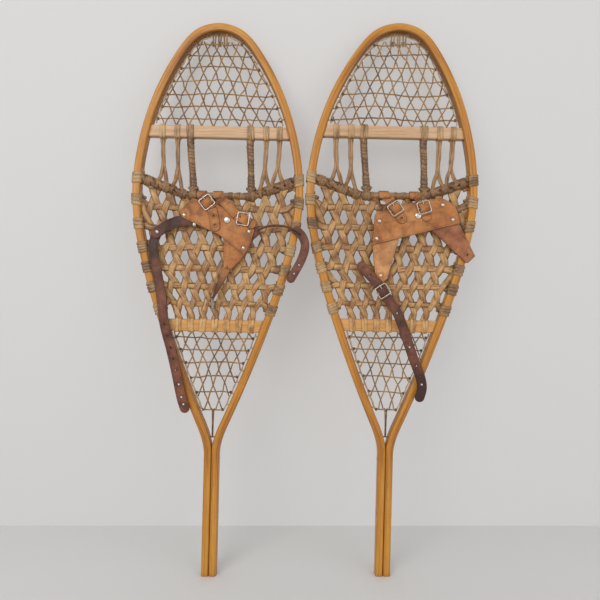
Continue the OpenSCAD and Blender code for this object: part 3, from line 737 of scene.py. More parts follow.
def tail_rivets(shoe):
    shape = Shape(shoe)
    for co in islands(shoe, "tail_rivets"):
        centre = (co.min(0) + co.max(0)) / 2
        half = (co[:, 0].max() - co[:, 0].min()) / 2
        for s in (-1, 1):
            lathe(shape, centre + [s * (half - 1.6), 0, 0], (s, 0, 0), [
                (2.0, -8), (2.0, 0.2), (4.1, 0.2), (4.1, 0.6), (3.6, 1.1), (2.4, 1.5), (0.6, 1.7),
            ])
    shape.piece("tail_rivet_heads", NICKEL, "tail_rivets")


# ---- Three-way weave ----

def weave(shoe, levels, pitch, inside, sag, drift, span=14, start=0.25):
    """Strands of a three-way weave, as kinds and lists of (u, w, lift). Two sets slant, and one runs
    level. Each strand passes over and under in turn: lift is 1 in front and -1 behind.
    pitch(w) is the distance between neighbouring crossings at a height. drift moves whole regions of
    the net, as hand lacing does, and single points stray a little."""
    rng = shoe.rng
    sags = rng.uniform(-sag, sag, len(levels))
    phase = rng.uniform(0, 2 * math.pi, 4)
    strands = []

    def drifted(u, w, lift):
        across = drift * math.sin(w / 19 + phase[0]) * math.cos(u / 37 + phase[1])
        along = drift * math.sin(u / 27 + phase[2]) * math.cos(w / 41 + phase[3])
        return (u + across, w + along, lift)

    def height(k):
        i = min(int(k), len(levels) - 2)
        return levels[i] + (levels[i + 1] - levels[i]) * (k - i)

    def edge(out, into):
        a, b = 0.0, 1.0
        for _ in range(12):
            m = (a + b) / 2
            if inside(out[0] + (into[0] - out[0]) * m, out[1] + (into[1] - out[1]) * m):
                b = m
            else:
                a = m
        return (out[0] + (into[0] - out[0]) * b, out[1] + (into[1] - out[1]) * b, 0.0)

    def clipped(points, kind):
        run = []
        for i, p in enumerate(points):
            ok = inside(p[0], p[1])
            if ok and not run and i:
                run.append(edge(points[i - 1], p))
            if ok:
                run.append(p)
            elif run:
                run.append(edge(p, points[i - 1]))
                if len(run) > 2:
                    strands.append((kind, run))
                run = []
        if len(run) > 2:
            strands.append((kind, run))

    for s in (1, -1):
        for j in range(-span, span + 1):
            points = []
            for h in range(2 * len(levels) - 1):
                k = h / 2
                u = s * pitch(height(k)) * (j + start + k / 2)
                points.append(drifted(
                    u + rng.normal(0, STRAY), height(k) + rng.normal(0, STRAY * 0.4),
                    s if h % 2 == 0 else -s,
                ))
            clipped(points, "up" if s > 0 else "down")
    for k, level in enumerate(levels):
        crossings = sorted(
            (s * pitch(level) * (j + start + k / 2), -s)
            for j in range(-2 * span, 2 * span + 1) for s in (1, -1)
        )
        wave = rng.normal(0, STRAY * 0.5, len(crossings))
        reach = max(20.0, shoe.inner_at(level))
        clipped([
            drifted(u, level + wave[i] + sags[k] * (1 - (u / reach) ** 2), lift)
            for i, (u, lift) in enumerate(crossings)
        ], "level")
    return strands


def coil(shape, centre, along, radius, turns, half, thick, tone, dirt, spacing, start=0.0,
         sides=8, squash=1.0):
    """Turns of a strand round a thin round core."""
    along = unit(np.asarray(along, float))
    first = unit(np.cross(along, (0, 1, 0)))
    second = np.cross(along, first)
    a = np.linspace(0, 2 * math.pi * turns, int(14 * turns) + 1)[:, None]
    out = first * np.cos(a + start) + second * np.sin(a + start)
    shift = (a / (2 * math.pi) - turns / 2) * spacing
    path = np.asarray(centre, float) + out * radius * [1, squash, 1] + along * shift
    tube(shape, path, half, thick, ref=out, sides=sides, tone=tone, dirt=dirt)


def fine_weave(shape, levels, pitch, inside, at_bar, sag, drift, thinnest, tie_dirt):
    """A fine three-way weave. Its level strands are tied round the selvedge thong."""
    draw = shape.shoe.rng.uniform
    for kind, points in weave(shape.shoe, levels, pitch, inside, sag, drift):
        tone = draw(0.15, 0.85)
        half = draw(thinnest, 1.5)
        path, _ = laid([(u, lift * 1.15, w) for u, w, lift in points], 4, 2.0)
        tube(shape, path, half, 1.05, sides=8, tone=tone, dirt=draw(0, 0.2))
        for end, near in ((points[0], points[1]), (points[-1], points[-2])):
            if kind == "level" and not at_bar(end[1]):
                rail = (near[1] - end[1], 0, end[0] - near[0])
                coil(shape, (end[0], 0, end[1]), rail, radius=1.9, turns=2.2, half=1.0, thick=0.8,
                     tone=tone, dirt=tie_dirt, spacing=2.0, start=draw(0, 6), sides=6)


def selvedge(shape, line, pitch, sway):
    """A twisted thong that runs beside the rail, tied back to the rail at each hole."""
    rng = shape.shoe.rng
    step = 2.2
    path = even(line, step)
    along = unit(np.gradient(path, axis=0))
    inward = np.stack([-along[:, 1], along[:, 0]], 1)
    scallop = sway * np.cos(2 * math.pi * np.arange(len(path)) * step / pitch)
    thong = np.stack([
        path[:, 0] + inward[:, 0] * scallop, rng.normal(0, 0.15, len(path)),
        path[:, 1] + inward[:, 1] * scallop,
    ], 1)
    half = 1.35 * np.where(path[:, 0] < 0, 1.25, 0.85)

    def twist(s, a):
        return 1 + 0.12 * np.cos(2 * a - s * 0.5)

    # Painted shade in the hollows of its twist
    tube(shape, thong, half, 1.1, ripple=twist, groove_shade=1.0, tone=0.8, dirt=0.02)
    # Ties from the thong's outward bights into the rail
    for i in range(int(pitch / 2 / step), len(path) - 2, int(round(pitch / step))):
        p, q = thong[i], path[i] - inward[i] * 7.0
        for o in (-1.1, 1.1):
            a = np.array([p[0] - along[i][0] * o * 0.4, 0.6 * np.sign(o), p[2] - along[i][1] * o * 0.4])
            b = np.array([q[0] + along[i][0] * o, 0.0, q[1] + along[i][1] * o])
            tube(shape, smooth([a, (a + b) / 2 + [0, 0.5, 0], b], 3), 0.9, 0.75, sides=7,
                 tone=rng.uniform(0.4, 0.8), dirt=0.05, rounded=False)


def toe_lacing(shoe):
    draw = shoe.rng.uniform
    low, high = FRONT_BAR[1] + 1, 1046

    def inside(u, w):
        return low < w < high and abs(u - shoe.bend(w)) < shoe.inner_at(w) - 7.2

    shape = Shape(shoe)
    fine_weave(shape, [low - 12] + TOE_ROWS + [1062], toe_pitch, inside, lambda w: w < low + 2,
               sag=2.0, drift=2.8, thinnest=1.15, tie_dirt=0.55)
    # Loops that hang the top row from the toe, passing over the selvedge thong
    top = TOE_ROWS[-1]
    for k in range(6):
        u = shoe.bend(1055) + 5.4 * (k - 2.5) + draw(-0.7, 0.7)
        lean = draw(-1.5, 1.5)
        loop = smooth([
            (u, 0.2, 1066), (u, 2.6, 1060), (u + lean * 0.4, 2.3, 1052), (u + lean, 1.2, top + 2),
            (u + lean, -1.2, top - 2.5),
        ], 4)
        tube(shape, loop, 1.5, 1.0, sides=8, tone=draw(0.1, 0.7), dirt=0.12)
    shape.piece("toe_weave", FINE, "toe_lacing")

    shape = Shape(shoe)
    line = shoe.inner + shoe.inward * 5.0
    selvedge(shape, line[line[:, 1] > FRONT_BAR[1] + 4], pitch=25.0, sway=0.9)
    shape.piece("toe_edge_thong", PALE_HIDE, "toe_selvedge")


def tail_lacing(shoe):
    low, high = TAIL_ROWS[0], REAR_BAR[0] - 0.5

    def inside(u, w):
        return 300 < w < high and abs(u) < shoe.inner_at(w) - 7.0

    shape = Shape(shoe)
    fine_weave(shape, TAIL_ROWS, lambda w: TAIL_PITCH, inside, lambda w: w > high - 2,
               sag=1.6, drift=2.0, thinnest=1.2, tie_dirt=0.7)
    # The cord that drops into the throat, tied across it at its foot
    for s in (-1, 1):
        cord = smooth([
            (s * 2.6, 0, low + 2), (s * 1.5, 0.8 * s, low - 4), (s * 0.8, 0, 295), (s * 0.6, 0, 270),
        ], 5)
        tube(shape, even(cord, 2.2), 1.2, 1.0, tone=0.3, dirt=0.25)
    foot = shoe.inner_at(270) + 1
    tie = smooth([(-foot, 0, 271), (-1.5, 1.5, 270), (1.5, 1.5, 270), (foot, 0, 271)], 4)
    tube(shape, tie, 1.0, 0.8, tone=0.3, dirt=0.3)
    coil(shape, (0, 0, low - 2), (1, 0, 0), radius=2.2, turns=2, half=1.0, thick=0.8,
         tone=0.4, dirt=0.4, spacing=2.0)
    shape.piece("tail_weave", FINE, "tail_lacing")

    shape = Shape(shoe)
    for s in (-1, 1):
        line = [(s * (shoe.inner_at(w) - 5.0), w) for w in np.linspace(high - 2, 325, 60)]
        selvedge(shape, line[::-s], pitch=24.0, sway=0.5)
    shape.piece("tail_edge_thong", PALE_HIDE, "tail_selvedge")


# ---- Cords ----

def strap_zones(shoe):
    """Where the toe straps' loops turn on the toe cord: their spans of u."""
    zones = []
    for k in "ab":
        co = shoe.node(f"toe_strap_{k}")
        u = co[(np.abs(co[:, 2] - CORD_AT) < 11) & (co[:, 1] < 2), 0]
        zones.append((u.min() - 1.5, u.max() + 1.5))
    return zones


def toe_cord(shoe):
    draw = shoe.rng.uniform
    reach = shoe.inner_at(cord_height(shoe.inner_at(770))) - 1.0
    shape = Shape(shoe)

    def rings(s, a):
        return 1 - 0.055 * np.abs(np.sin(math.pi * (s + 0.25 * np.sin(a)) / 3.4)) ** 6

    # The wrapped middle, with fine rings and painted shade between them
    middle = [(u, 0, CORD_AT) for u in np.arange(-CORD_STRAIGHT, CORD_STRAIGHT + 0.1, 0.8)]
    tube(shape, middle, 6.9, sides=20, ripple=rings, groove_shade=11, tone=0.85, dirt=0.02, shift=10,
         rounded=False)
    # Three twisted cords from the middle out to each rail, with painted shade in the hollows of their
    # twist
    step = 1.4
    for s in (-1, 1):
        base = even([
            (s * u, cord_height(u)) for u in np.linspace(CORD_STRAIGHT - 8, reach, 60)
        ], step)
        length = np.arange(len(base)) * step
        along = unit(np.gradient(base, axis=0))
        up = np.stack([-along[:, 1], along[:, 0]], 1) * s
        grow = np.clip(length / 60, 0, 1)
        for phase in (0.0, 2.1, 4.2):
            turn = phase + length * 0.115 * s
            off = 3.4 + 2.2 * grow
            path = np.stack([
                base[:, 0] + up[:, 0] * np.cos(turn) * off, np.sin(turn) * off * 0.9,
                base[:, 1] + up[:, 1] * np.cos(turn) * off,
            ], 1)

            def fibre(s_, a, phase=phase):
                return 1 + 0.10 * np.cos(3 * a + s_ * 0.5 + phase)

            tube(shape, path, 4.4 + 0.8 * grow, sides=12, ripple=fibre, groove_shade=3.5,
                 tone=draw(0.1, 0.6), dirt=0.22 + 0.12 * np.sin(length * 0.23 + phase))
        # Turns that bind the cords together
        for u in (CORD_STRAIGHT + 3, CORD_STRAIGHT + 38, reach - 12):
            radius = 8.0 + 1.8 * min(1, (u - 60) / 60)
            coil(shape, (s * u, 0, cord_height(u)), (s, 0, CORD_RISE), radius, turns=3, half=2.6,
                 thick=1.2, tone=draw(0.3, 0.8), dirt=0.25, spacing=4.2, start=draw(0, 6))
    # The webbing's turns round the cord, clear of the straps' loops
    zones = strap_zones(shoe)
    for u in np.arange(-54, 56, 15.5):
        if not any(a - 3.4 < u < b + 3.4 for a, b in zones):
            coil(shape, (u, 0, CORD_AT), (1, 0, 0), radius=7.2, turns=1.2, half=2.6, thick=0.6,
                 tone=draw(0.4, 0.8), dirt=0.1, spacing=4.6, start=draw(0, 6))
    shape.piece("twisted_toe_cord", CORD, "toe_cord")


def bar_band(shape, span, u, width, tone, dirt, out, thick, slant):
    """A flat band of rawhide wrapped round a crossbar that spans two heights."""
    mid, half = (span[0] + span[1]) / 2, (span[1] - span[0]) / 2
    path, ref = [], []
    for a, b in rounded_section(half + out, BAR_D / 2 + out, 3.2, 6):
        path.append((u + slant * a / 12, b, mid + a))
        ref.append((0.0, b / (BAR_D / 2), a / half))
    tube(shape, path, width / 2, thick, ref=unit(np.array(ref) ** 3), sides=12, power=0.6,
         closed=True, tone=tone, dirt=dirt)


def side_cords(shoe):
    draw = shoe.rng.uniform
    shape, bands = Shape(shoe), Shape(shoe)
    bar = FRONT_BAR[0]
    for top, foot in zip(BANDS, CORD_FEET):
        for o, out in ((-4.1, 1.2), (0.1, 1.5), (4.3, 1.2)):
            bar_band(bands, FRONT_BAR, top + o, width=5.4, tone=draw(0.2, 0.6), dirt=0.16, out=out,
                     thick=1.1, slant=draw(-1, 1))
        path, s = laid([
            (top, 1.5, bar + 3), (top * 0.99, 1, bar - 12), (top + (foot - top) * 0.35, 0.5, 815),
            (top + (foot - top) * 0.8, 0, 778), (foot, 0, 757),
        ], 8, 1.1)
        phase = draw(0, 6)

        def spiral(s_, a, phase=phase):
            x = s_ / 7.6 + a / (2 * math.pi) + 0.25 * np.sin(s_ * 0.21 + phase)
            return 1.03 - 0.13 * np.abs(np.cos(math.pi * x)) ** 8 + 0.015 * np.cos(3 * a + s_ * 0.1)

        # Wrapped in a slightly slanting spiral, with painted shade in its grooves
        width = 7.4 - 1.0 * np.clip(s / 70, 0, 1) + 0.9 * np.clip((s - 70) / 15, 0, 1)
        tube(shape, path, width, width * 0.92, sides=22, ripple=spiral, groove_shade=6.5,
             tone=draw(0.35, 0.6), dirt=0.16 + 0.2 * np.clip((s - 62) / 30, 0, 1))
        # The knot at its foot: heavy turns over the toe cord, and four ends that cross them
        h = cord_height(foot)
        for k in range(3):
            coil(shape, (foot + (k - 1) * 4.0, 0, h + 0.5), (1, 0, 0.12 * (k - 1)),
                 radius=9.0 + 0.5 * k, turns=1.15, half=3.4, thick=2.2, tone=draw(0.2, 0.6),
                 dirt=0.35, spacing=2.0, start=draw(0, 6), squash=0.93)
        for a, b in (
            ((-7, 4.5, 14), (8, 3.0, 2)), ((7, -4.5, 13), (-8, -3.5, 1)),
            ((-8, -3, 16), (7, -4, 4)), ((8, 4, 15), (-7, 4.5, 3)),
        ):
            a, b = np.array(a) + (foot, 0, h), np.array(b) + (foot, 0, h)
            tube(shape, smooth([a, (a + b) / 2 * (1, 1.55, 1), b], 5), 3.2, 2.2,
                 tone=draw(0.2, 0.6), dirt=0.4)
    shape.piece("wrapped_side_cords", CORD, "side_cords")
    bands.piece("side_cord_bands", WRAP, "side_cords")


def lifter_cords(shoe):
    draw = shoe.rng.uniform
    shape, bands = Shape(shoe), Shape(shoe)
    bar = FRONT_BAR[0]

    def roll(s, a):
        return 1 + 0.12 * np.cos(2 * a + s * 0.16)

    for u in LIFTERS:
        for o in (-2.6, 2.6):
            bar_band(bands, FRONT_BAR, u + o, width=5.8, tone=draw(0.35, 0.8), dirt=0.06, out=1.1,
                     thick=0.95, slant=draw(-0.6, 0.6))
        h = cord_height(u)
        for s in (-1, 1):
            splay = s * (9.5 + draw(-1.5, 2.0))
            rise = splay * CORD_RISE * np.sign(u)
            path, length = laid([
                (u + s * 2.8, 1.0, bar + 1), (u + s * 2.0, 1.0 * s, bar - 11),
                (u * 0.993 + s * 1.5, 1.3 * s, bar - 34),
                (u * 0.985 + s * 1.3, 1.2 * s, (bar + h) / 2 + 4),
                (u * 0.982 + s * 2.4, -1.3 * s, h + 34), (u * 0.98 + splay * 0.6, 1.0 * s, h + 20),
                (u * 0.98 + splay, 5.5, h + 6 + rise), (u * 0.98 + splay, 9.2, h + rise),
            ], 6, 1.8)
            half = 3.0 + 1.2 * np.clip((length - 55) / 40, 0, 1)
            # Painted shade in the hollows of its roll
            tube(shape, path, half, 1.9, sides=12, ripple=roll, groove_shade=2.0,
                 tone=draw(0.5, 1.0), dirt=0.02 + 0.25 * np.clip((length - 60) / 40, 0, 1))
            # Its turn round the toe cord
            q = u * 0.98 + splay
            coil(shape, (q, 0, cord_height(q)), (1, 0, CORD_RISE * np.sign(u)), radius=9.3,
                 turns=1.3, half=3.0, thick=1.3, tone=draw(0.3, 0.8), dirt=0.3, spacing=3.5,
                 start=draw(0, 6))
    shape.piece("lifter_thongs", CORD, "lifter_cords")
    bands.piece("lifter_bands", WRAP, "lifter_cords")


# ---- Heavy webbing and rail wraps ----

def body_webbing(shoe):
    draw = shoe.rng.uniform
    low, high = WEB_ROWS[0], WEB_ROWS[-1]
    mids = [(a + b) / 2 for a, b in zip(WEB_ROWS, WEB_ROWS[1:])]
    levels = [2 * low - mids[0]] + mids + [2 * high - mids[-1], 2 * high - mids[-1] + 40]
    foot = web_pitch(REAR_BAR[1])
    shape = Shape(shoe)

    def inside(u, w):
        return low - 2 < w < cord_height(u) - 2.0 and abs(u) < shoe.inner_at(w) - 5.0

    for kind, points in weave(shoe, levels, web_pitch, inside, sag=1.0, drift=1.8, span=10, start=0.75):
        tone = draw(0.25, 0.75)
        for at, (u, w, _) in ((0, points[0]), (-1, points[-1])):
            if abs(u) > shoe.inner_at(w) - 9 and w > low:
                # Bends to the nearest turns round the rail
                goal = min(WRAPS, key=lambda wrap: abs(wrap - w))
                w2 = w + np.clip(goal - w, -13, 13)
                points[at] = (np.sign(u) * (shoe.inner_at(w2) + 2.5), w2, 0.6)
            elif w < low:
                # Goes down behind its band on the rear crossbar
                base = round(u / foot) * foot - (2.2 if kind == "up" else -2.2)
                extra = [(base, REAR_BAR[1] + 1.5, 0.4), (base, REAR_BAR[1] - 6, 0.0)]
                points = points[:-1] + extra if at else extra[::-1] + points[1:]
        path, s = laid([(u, lift * 1.7, w) for u, w, lift in points], 6, 2.6)
        phase = draw(0, 6)
        narrow = np.array([web_pitch(p[2]) for p in path]) / WEB_PITCH
        half = (6.2 if kind == "level" else 7.0) * narrow
        half = half + 0.5 * np.sin(s * 0.11 + phase) + 0.3 * np.sin(s * 0.31 + phase * 2)

        def fold(s_, a, phase=phase):
            return 1 + 0.07 * np.cos(4 * a + s_ * 0.03 + phase) + 0.04 * np.cos(7 * a - s_ * 0.08)

        # Painted shade in the folds of each strand, and darker strand edges
        tube(shape, path, half, 1.6, sides=16, power=0.85, ripple=fold, groove_shade=2.6, edge=0.85,
             tone=tone, dirt=0.03 + 0.22 * np.sin(s * 0.09 + phase) ** 4)
    # Pairs of flat bands round the rear crossbar, where the webbing comes down to it
    reach = shoe.inner_at(sum(REAR_BAR) / 2)
    for u in foot * np.arange(-4, 5):
        if abs(u) < reach - 7:
            for o, out in ((-2.7, 1.1), (2.9, 1.2)):
                bar_band(shape, REAR_BAR, u + o, width=6.0, tone=draw(0.4, 1.0), dirt=0.04, out=out,
                         thick=1.0, slant=draw(-1.2, 1.2))
    shape.piece("woven_webbing", HEAVY, "body_webbing")


def rail_wraps(shoe):
    draw = shoe.rng.uniform
    shape = Shape(shoe)
    section = rounded_section(STRIP_W / 2 + 1.0, STRIP_D / 2 + 1.0, 4.4, 6)
    count = len(section)
    for s in (-1, 1):
        for wrap in WRAPS:
            # The rail's place and direction at this height
            rail = np.flatnonzero(np.sign(shoe.outer[:, 0]) == s)
            i = rail[np.argmin(np.abs(shoe.outer[rail, 1] - wrap))]
            n = shoe.inward[i]
            t = s * np.array([n[1], -n[0]])
            middle = shoe.outer[i] + n * STRIP_W / 2
            turns = 3 + int(shoe.rng.integers(0, 2))
            pitch = 21.0 / turns
            slant = draw(-2.2, 2.2)
            path, ref = [], []
            for k in range(turns * count + 1):
                a, b = section[k % count]
                grow = 0.105 * math.sin(k * 0.9)
                flat = middle + n * (a + grow) + t * ((k / count - turns / 2) * pitch + slant * a / 9)
                path.append((flat[0], b, flat[1]))
                ref.append((n[0] * a / 8, b / 11, n[1] * a / 8))
            dirt = 0.08 + 0.14 * (np.sin(np.arange(len(path)) * 0.21 + draw(0, 6)) > 0.5)
            tube(shape, path, pitch / 2 + 0.25, 1.15, ref=unit(np.array(ref) ** 3), power=0.75,
                 tone=draw(0.15, 0.7), dirt=dirt)
            # Ends that leave the rail for the webbing
            u, w = shoe.inner[i]
            for o in (-5.5, 5.0):
                a = np.array([u - s * 0.5, draw(-3, 3), w + o])
                b = np.array([u - s * 7.5, draw(-1.5, 1.5), w + o * 0.6])
                tube(shape, smooth([a, (a + b) / 2 + [0, 1.2, 0], b], 4), 3.2, 1.6, sides=9,
                     tone=0.2, dirt=0.45)
    shape.piece("rail_turns", WRAP, "rail_wraps")


# ---- Leather ----

def rim_distance(co, mesh):
    """How far each point is, seen from the front, from the outline and hole rims of a CAD sheet."""
    mesh.calc_loop_triangles()
    corners = np.array([v.co for v in mesh.vertices])
    points = co[:, [0, 2]]
    nearest = np.full(len(co), 1.0)
    for tri in mesh.loop_triangles:
        if abs(tri.normal[1]) > 0.1:
            continue
        p = corners[list(tri.vertices)]
        for i, j in ((0, 1), (1, 2), (2, 0)):
            if abs(p[i][1] - p[j][1]) > 1e-6:
                continue
            a, ab = p[i, [0, 2]], p[j, [0, 2]] - p[i, [0, 2]]
            t = np.clip(((points - a) @ ab) / max(ab @ ab, 1e-12), 0, 1)
            nearest = np.minimum(nearest, np.linalg.norm(points - a - t[:, None] * ab, axis=1))
    return nearest


def soft(shoe, node, material, body="binding", voxel=0.8, rounds=3, rim=True, warp=None, dirt=None):
    """A leather piece in the place of its CAD node: the same outline with rounded edges. warp moves its
    points, and the darkening function darkens them, with real dark places and painted shade. Without a rim
    it has no tooled line."""
    source = frame["nodes"][f"{shoe.name}_{node}"].data
    bm = bmesh.new()
    bm.from_mesh(source)
    bmesh.ops.remove_doubles(bm, verts=bm.verts, dist=1e-6)
    name = f"{shoe.name}_{node}_worn"
    rough = bpy.data.meshes.new(name)
    bm.to_mesh(rough)
    bm.free()
    obj = add_object(name, rough)
    remesh = obj.modifiers.new("remesh", "REMESH")
    remesh.mode = "VOXEL"
    remesh.voxel_size = voxel * MM
    relax = obj.modifiers.new("relax", "SMOOTH")
    relax.factor = 0.5
    relax.iterations = rounds
    bpy.context.view_layer.update()
    made = bpy.data.meshes.new_from_object(
        obj.evaluated_get(bpy.context.evaluated_depsgraph_get())
    )
    obj.modifiers.clear()
    obj.data = made
    made.name = name
    co = np.array([v.co for v in made.vertices])
    local = shoe.local(co)
    store(made, "rim", rim_distance(co, source) if rim else np.full(len(co), 0.01))
    store(made, "dirt", np.clip(dirt(local), 0, 1) if dirt else np.zeros(len(co)))
    if warp:
        made.vertices.foreach_set("co", shoe.world(warp(local)).ravel())
        made.update()
    return settle(shoe, obj, material, node, body)


def lifted(local, out_by, up_by=0.0):
    out = local.copy()
    out[:, 1] += out_by
    out[:, 2] += up_by
    return out


def uneven(shoe):
    """The gentle unevenness of the instep plate."""
    seed = 0.4 * shoe.side

    def warp(local):
        u, w = local[:, 0] / 22 + seed, local[:, 2] / 22
        wave = np.sin(u * 1.7 + 1.3 * np.sin(w * 1.1)) * np.cos(w * 1.9 + seed)
        return lifted(local, 0.22 * (wave + 0.5 * np.sin(u * 3.1 - w * 2.3)))
    return warp


def twisted_tail(shoe, tab):
    """The left inner tab's lower end: a dark ribbon that narrows and turns edge-on to the buckle."""
    mesh = tab.data
    bm = bmesh.new()
    bm.from_mesh(mesh)
    local = shoe.local(np.array([v.co for v in bm.verts]))
    low = [v for v, p in zip(list(bm.verts), local) if p[2] < 600]
    bmesh.ops.delete(bm, geom=low, context="VERTS")
    bmesh.ops.holes_fill(bm, edges=[e for e in bm.edges if e.is_boundary])
    bm.to_mesh(mesh)
    bm.free()
    mesh.polygons.foreach_set("use_smooth", np.ones(len(mesh.polygons), bool))
    bar = shoe.joint("heel_tongue_lift")
    front = shoe.local(np.array([v.co for v in mesh.vertices]))[:, 1].mean()
    path = smooth([
        (22.5, front - 1.6, 606), (19, front - 1.2, 594), (14, front + 1.5, 580),
        (7.5, front + 3, 566), (2, front + 3, 553), (bar[0], front + 3, bar[2]),
    ], 8)
    s = np.linspace(0, 1, len(path))
    half = 7.8 - 4.0 * step_up(s, 0.1, 1.0)
    turn = np.radians(48 * step_up(s, 0.4, 1.0))
    ref = np.stack([-np.sin(turn), np.cos(turn), 0 * s], 1)
    sides = 20
    shape = Shape(shoe)
    tube(shape, path, half, 1.25, ref=ref, sides=sides, power=0.75,
         dirt=0.08 + 0.72 * step_up(s, 0.05, 0.7))
    obj = shape.piece("twisted_chape", TAN, "inner_tab", "binding")
    # The distance from its edges, for the leather's dark rim
    angle = np.linspace(0, 2 * math.pi, sides, endpoint=False)
    far = MM * padded(half)[:, None] * (1 - np.abs(np.cos(angle)))
    store(obj.data, "rim", far.ravel())


def rivets(shoe, node, name, plate=None):
    """Domed rivets at the CAD rivets' places. The one nearest to the plate's middle is the large stud."""
    shape = Shape(shoe)
    groups = islands(shoe, node)
    places = np.array([(co.min(0) + co.max(0)) / 2 for co in groups])
    stud = -1
    if plate:
        co = shoe.node(plate)
        middle = (co.min(0) + co.max(0)) / 2
        stud = int(np.argmin(np.linalg.norm((places - middle)[:, [0, 2]], axis=1)))
    for i, co in enumerate(groups):
        lo, hi = co.min(0), co.max(0)
        r = (hi[0] - lo[0]) / 2 * (1.25 if i == stud else 0.82)
        front, back = hi[1] + (0.5 if i == stud else 0.0), lo[1]
        lathe(shape, places[i] * [1, 0, 1], (0, 1, 0), [
            (2.6, back), (3.5, back + 0.3), (3.5, back + 1.0), (1.75, back + 1.05),
            (1.75, front - 1.95), (r, front - 1.9), (r, front - 1.55), (r * 0.93, front - 1.1),
            (r * 0.76, front - 0.55), (r * 0.5, front - 0.17), (r * 0.22, front - 0.02),
            (r * 0.06, front),
        ], 24)
    shape.piece(name, NICKEL, node, "binding")


def buckle(shoe, node, tongue, body, turn=0.0):
    """A wire buckle at its tongue's joint: a bent frame, a middle bar and the tongue."""
    pos = shoe.joint(f"{tongue}_lift")
    axis = np.array(JOINTS[f"{shoe.name}_{tongue}_lift"]["axis"], float)
    bar = unit(np.array([axis @ shoe.across, -axis[1], axis @ shoe.up]))
    bar = bar if bar[0] > 0 else -bar
    front = np.array([0.0, 1.0, 0.0])
    up = unit(np.cross(bar, front))
    up = up if up[2] > 0 else -up
    bar, up = bar * math.cos(turn) + up * math.sin(turn), up * math.cos(turn) - bar * math.sin(turn)
    wide, prong, rise = 11.8, 13.6, 2.2

    def at(x, z, y=0.0):
        return pos + bar * x + up * z + front * y

    shape = Shape(shoe)
    section = rounded_section(wide, 11.2, 2.6)
    path = even([at(x, z) for x, z in section] + [at(*section[0])], 1.5)[:-1]
    tube(shape, path, 1.2, ref=front, sides=12, closed=True)
    middle = [at(x, 0) for x in np.linspace(-wide, wide, 12)]
    tube(shape, middle, 1.1, ref=front, sides=12, rounded=False)
    shape.piece(f"wire_{node}", NICKEL, node, body)
    shape = Shape(shoe)
    path = smooth([
        at(0.2, 0.6, 1.75), at(0.1, prong * 0.35, 1.6), at(0, prong * 0.7, rise),
        at(0, prong - 0.4, rise + 0.2),
    ], 5)
    tube(shape, path, np.linspace(1.0, 0.78, len(path)), ref=front)
    # Its loop round the middle bar
    angle = np.linspace(0, 2 * math.pi, 18, endpoint=False)
    loop = [at(0.1, 1.95 * math.cos(a), 1.95 * math.sin(a)) for a in angle]
    tube(shape, loop, 1.3, 0.55, ref=[unit(p - at(0.1, 0)) for p in loop], sides=8, closed=True)
    shape.piece(f"wire_{tongue}", NICKEL, tongue, tongue)


def left_leather(shoe):
    def outer_tab(co):
        return lifted(co, 2.9 * step_up(co[:, 0], -84, -100), 11 * step_up(co[:, 0], -62, -30))

    def behind_the_tab(co):
        return lifted(co, -2.9 * step_up(co[:, 2], 638, 654))

    twisted_tail(shoe, soft(shoe, "inner_tab", TAN))
    soft(shoe, "outer_tab", BROWN, warp=outer_tab, dirt=lambda co: 0.55 * bump_at(co[:, 0], -84, 26))
    soft(shoe, "ankle_strap", BROWN, voxel=0.7)
    # The heel strap gets painted shade where it runs behind the tab
    soft(shoe, "heel_strap", BROWN, "heel_strap", 0.7, warp=behind_the_tab,
         dirt=lambda co: 0.75 * step_up(co[:, 2], 600, 628))


def right_leather(shoe):
    def dark_places(co):
        w = co[:, 2]
        return 0.5 * bump_at(w, 503, 24) + 0.75 * step_up(-w, -w.min() - 78, -w.min() - 45)

    soft(shoe, "inner_tab", PALE_TAN)
    soft(shoe, "outer_tab", REDDISH)
    soft(shoe, "heel_chape", TAN, "heel_strap", 0.5, 2, rim=False)
    soft(shoe, "heel_strap", BROWN, "heel_strap", 0.7, dirt=dark_places)


def bindings(shoe):
    left = shoe.side < 0
    soft(shoe, "instep_plate", TAN, warp=uneven(shoe))
    (left_leather if left else right_leather)(shoe)
    for k in "ab":
        soft(shoe, f"toe_strap_{k}", TAN, voxel=0.6, rounds=2)
    soft(shoe, "buckle_chapes", TAN, voxel=0.5, rounds=1, rim=False)
    rivets(shoe, "plate_rivets", "domed_rivets", "instep_plate")
    rivets(shoe, "heel_rivet", "heel_domed_rivet")
    buckle(shoe, "buckle_a", "tongue_a", "binding")
    buckle(shoe, "buckle_b", "tongue_b", "binding", math.radians(22) if left else 0.0)
    if not left:
        buckle(shoe, "heel_buckle", "heel_tongue", "heel_strap")
        return
    # The free buckle of the left snowshoe keeps its CAD meshes
    for node in ("left_heel_buckle", "left_heel_tongue"):
        materials = frame["nodes"][node].data.materials
        materials.clear()
        materials.append(OLD_NICKEL)


def build(side):
    shoe = Shoe(side)
    frame_bow(shoe)
    crossbar(shoe, FRONT_BAR, "front", PALE_WOOD)
    crossbar(shoe, REAR_BAR, "rear", BAR_WOOD)
    tail_rivets(shoe)
    toe_lacing(shoe)
    tail_lacing(shoe)
    toe_cord(shoe)
    side_cords(shoe)
    lifter_cords(shoe)
    body_webbing(shoe)
    rail_wraps(shoe)
    bindings(shoe)


# ---- Stage ----

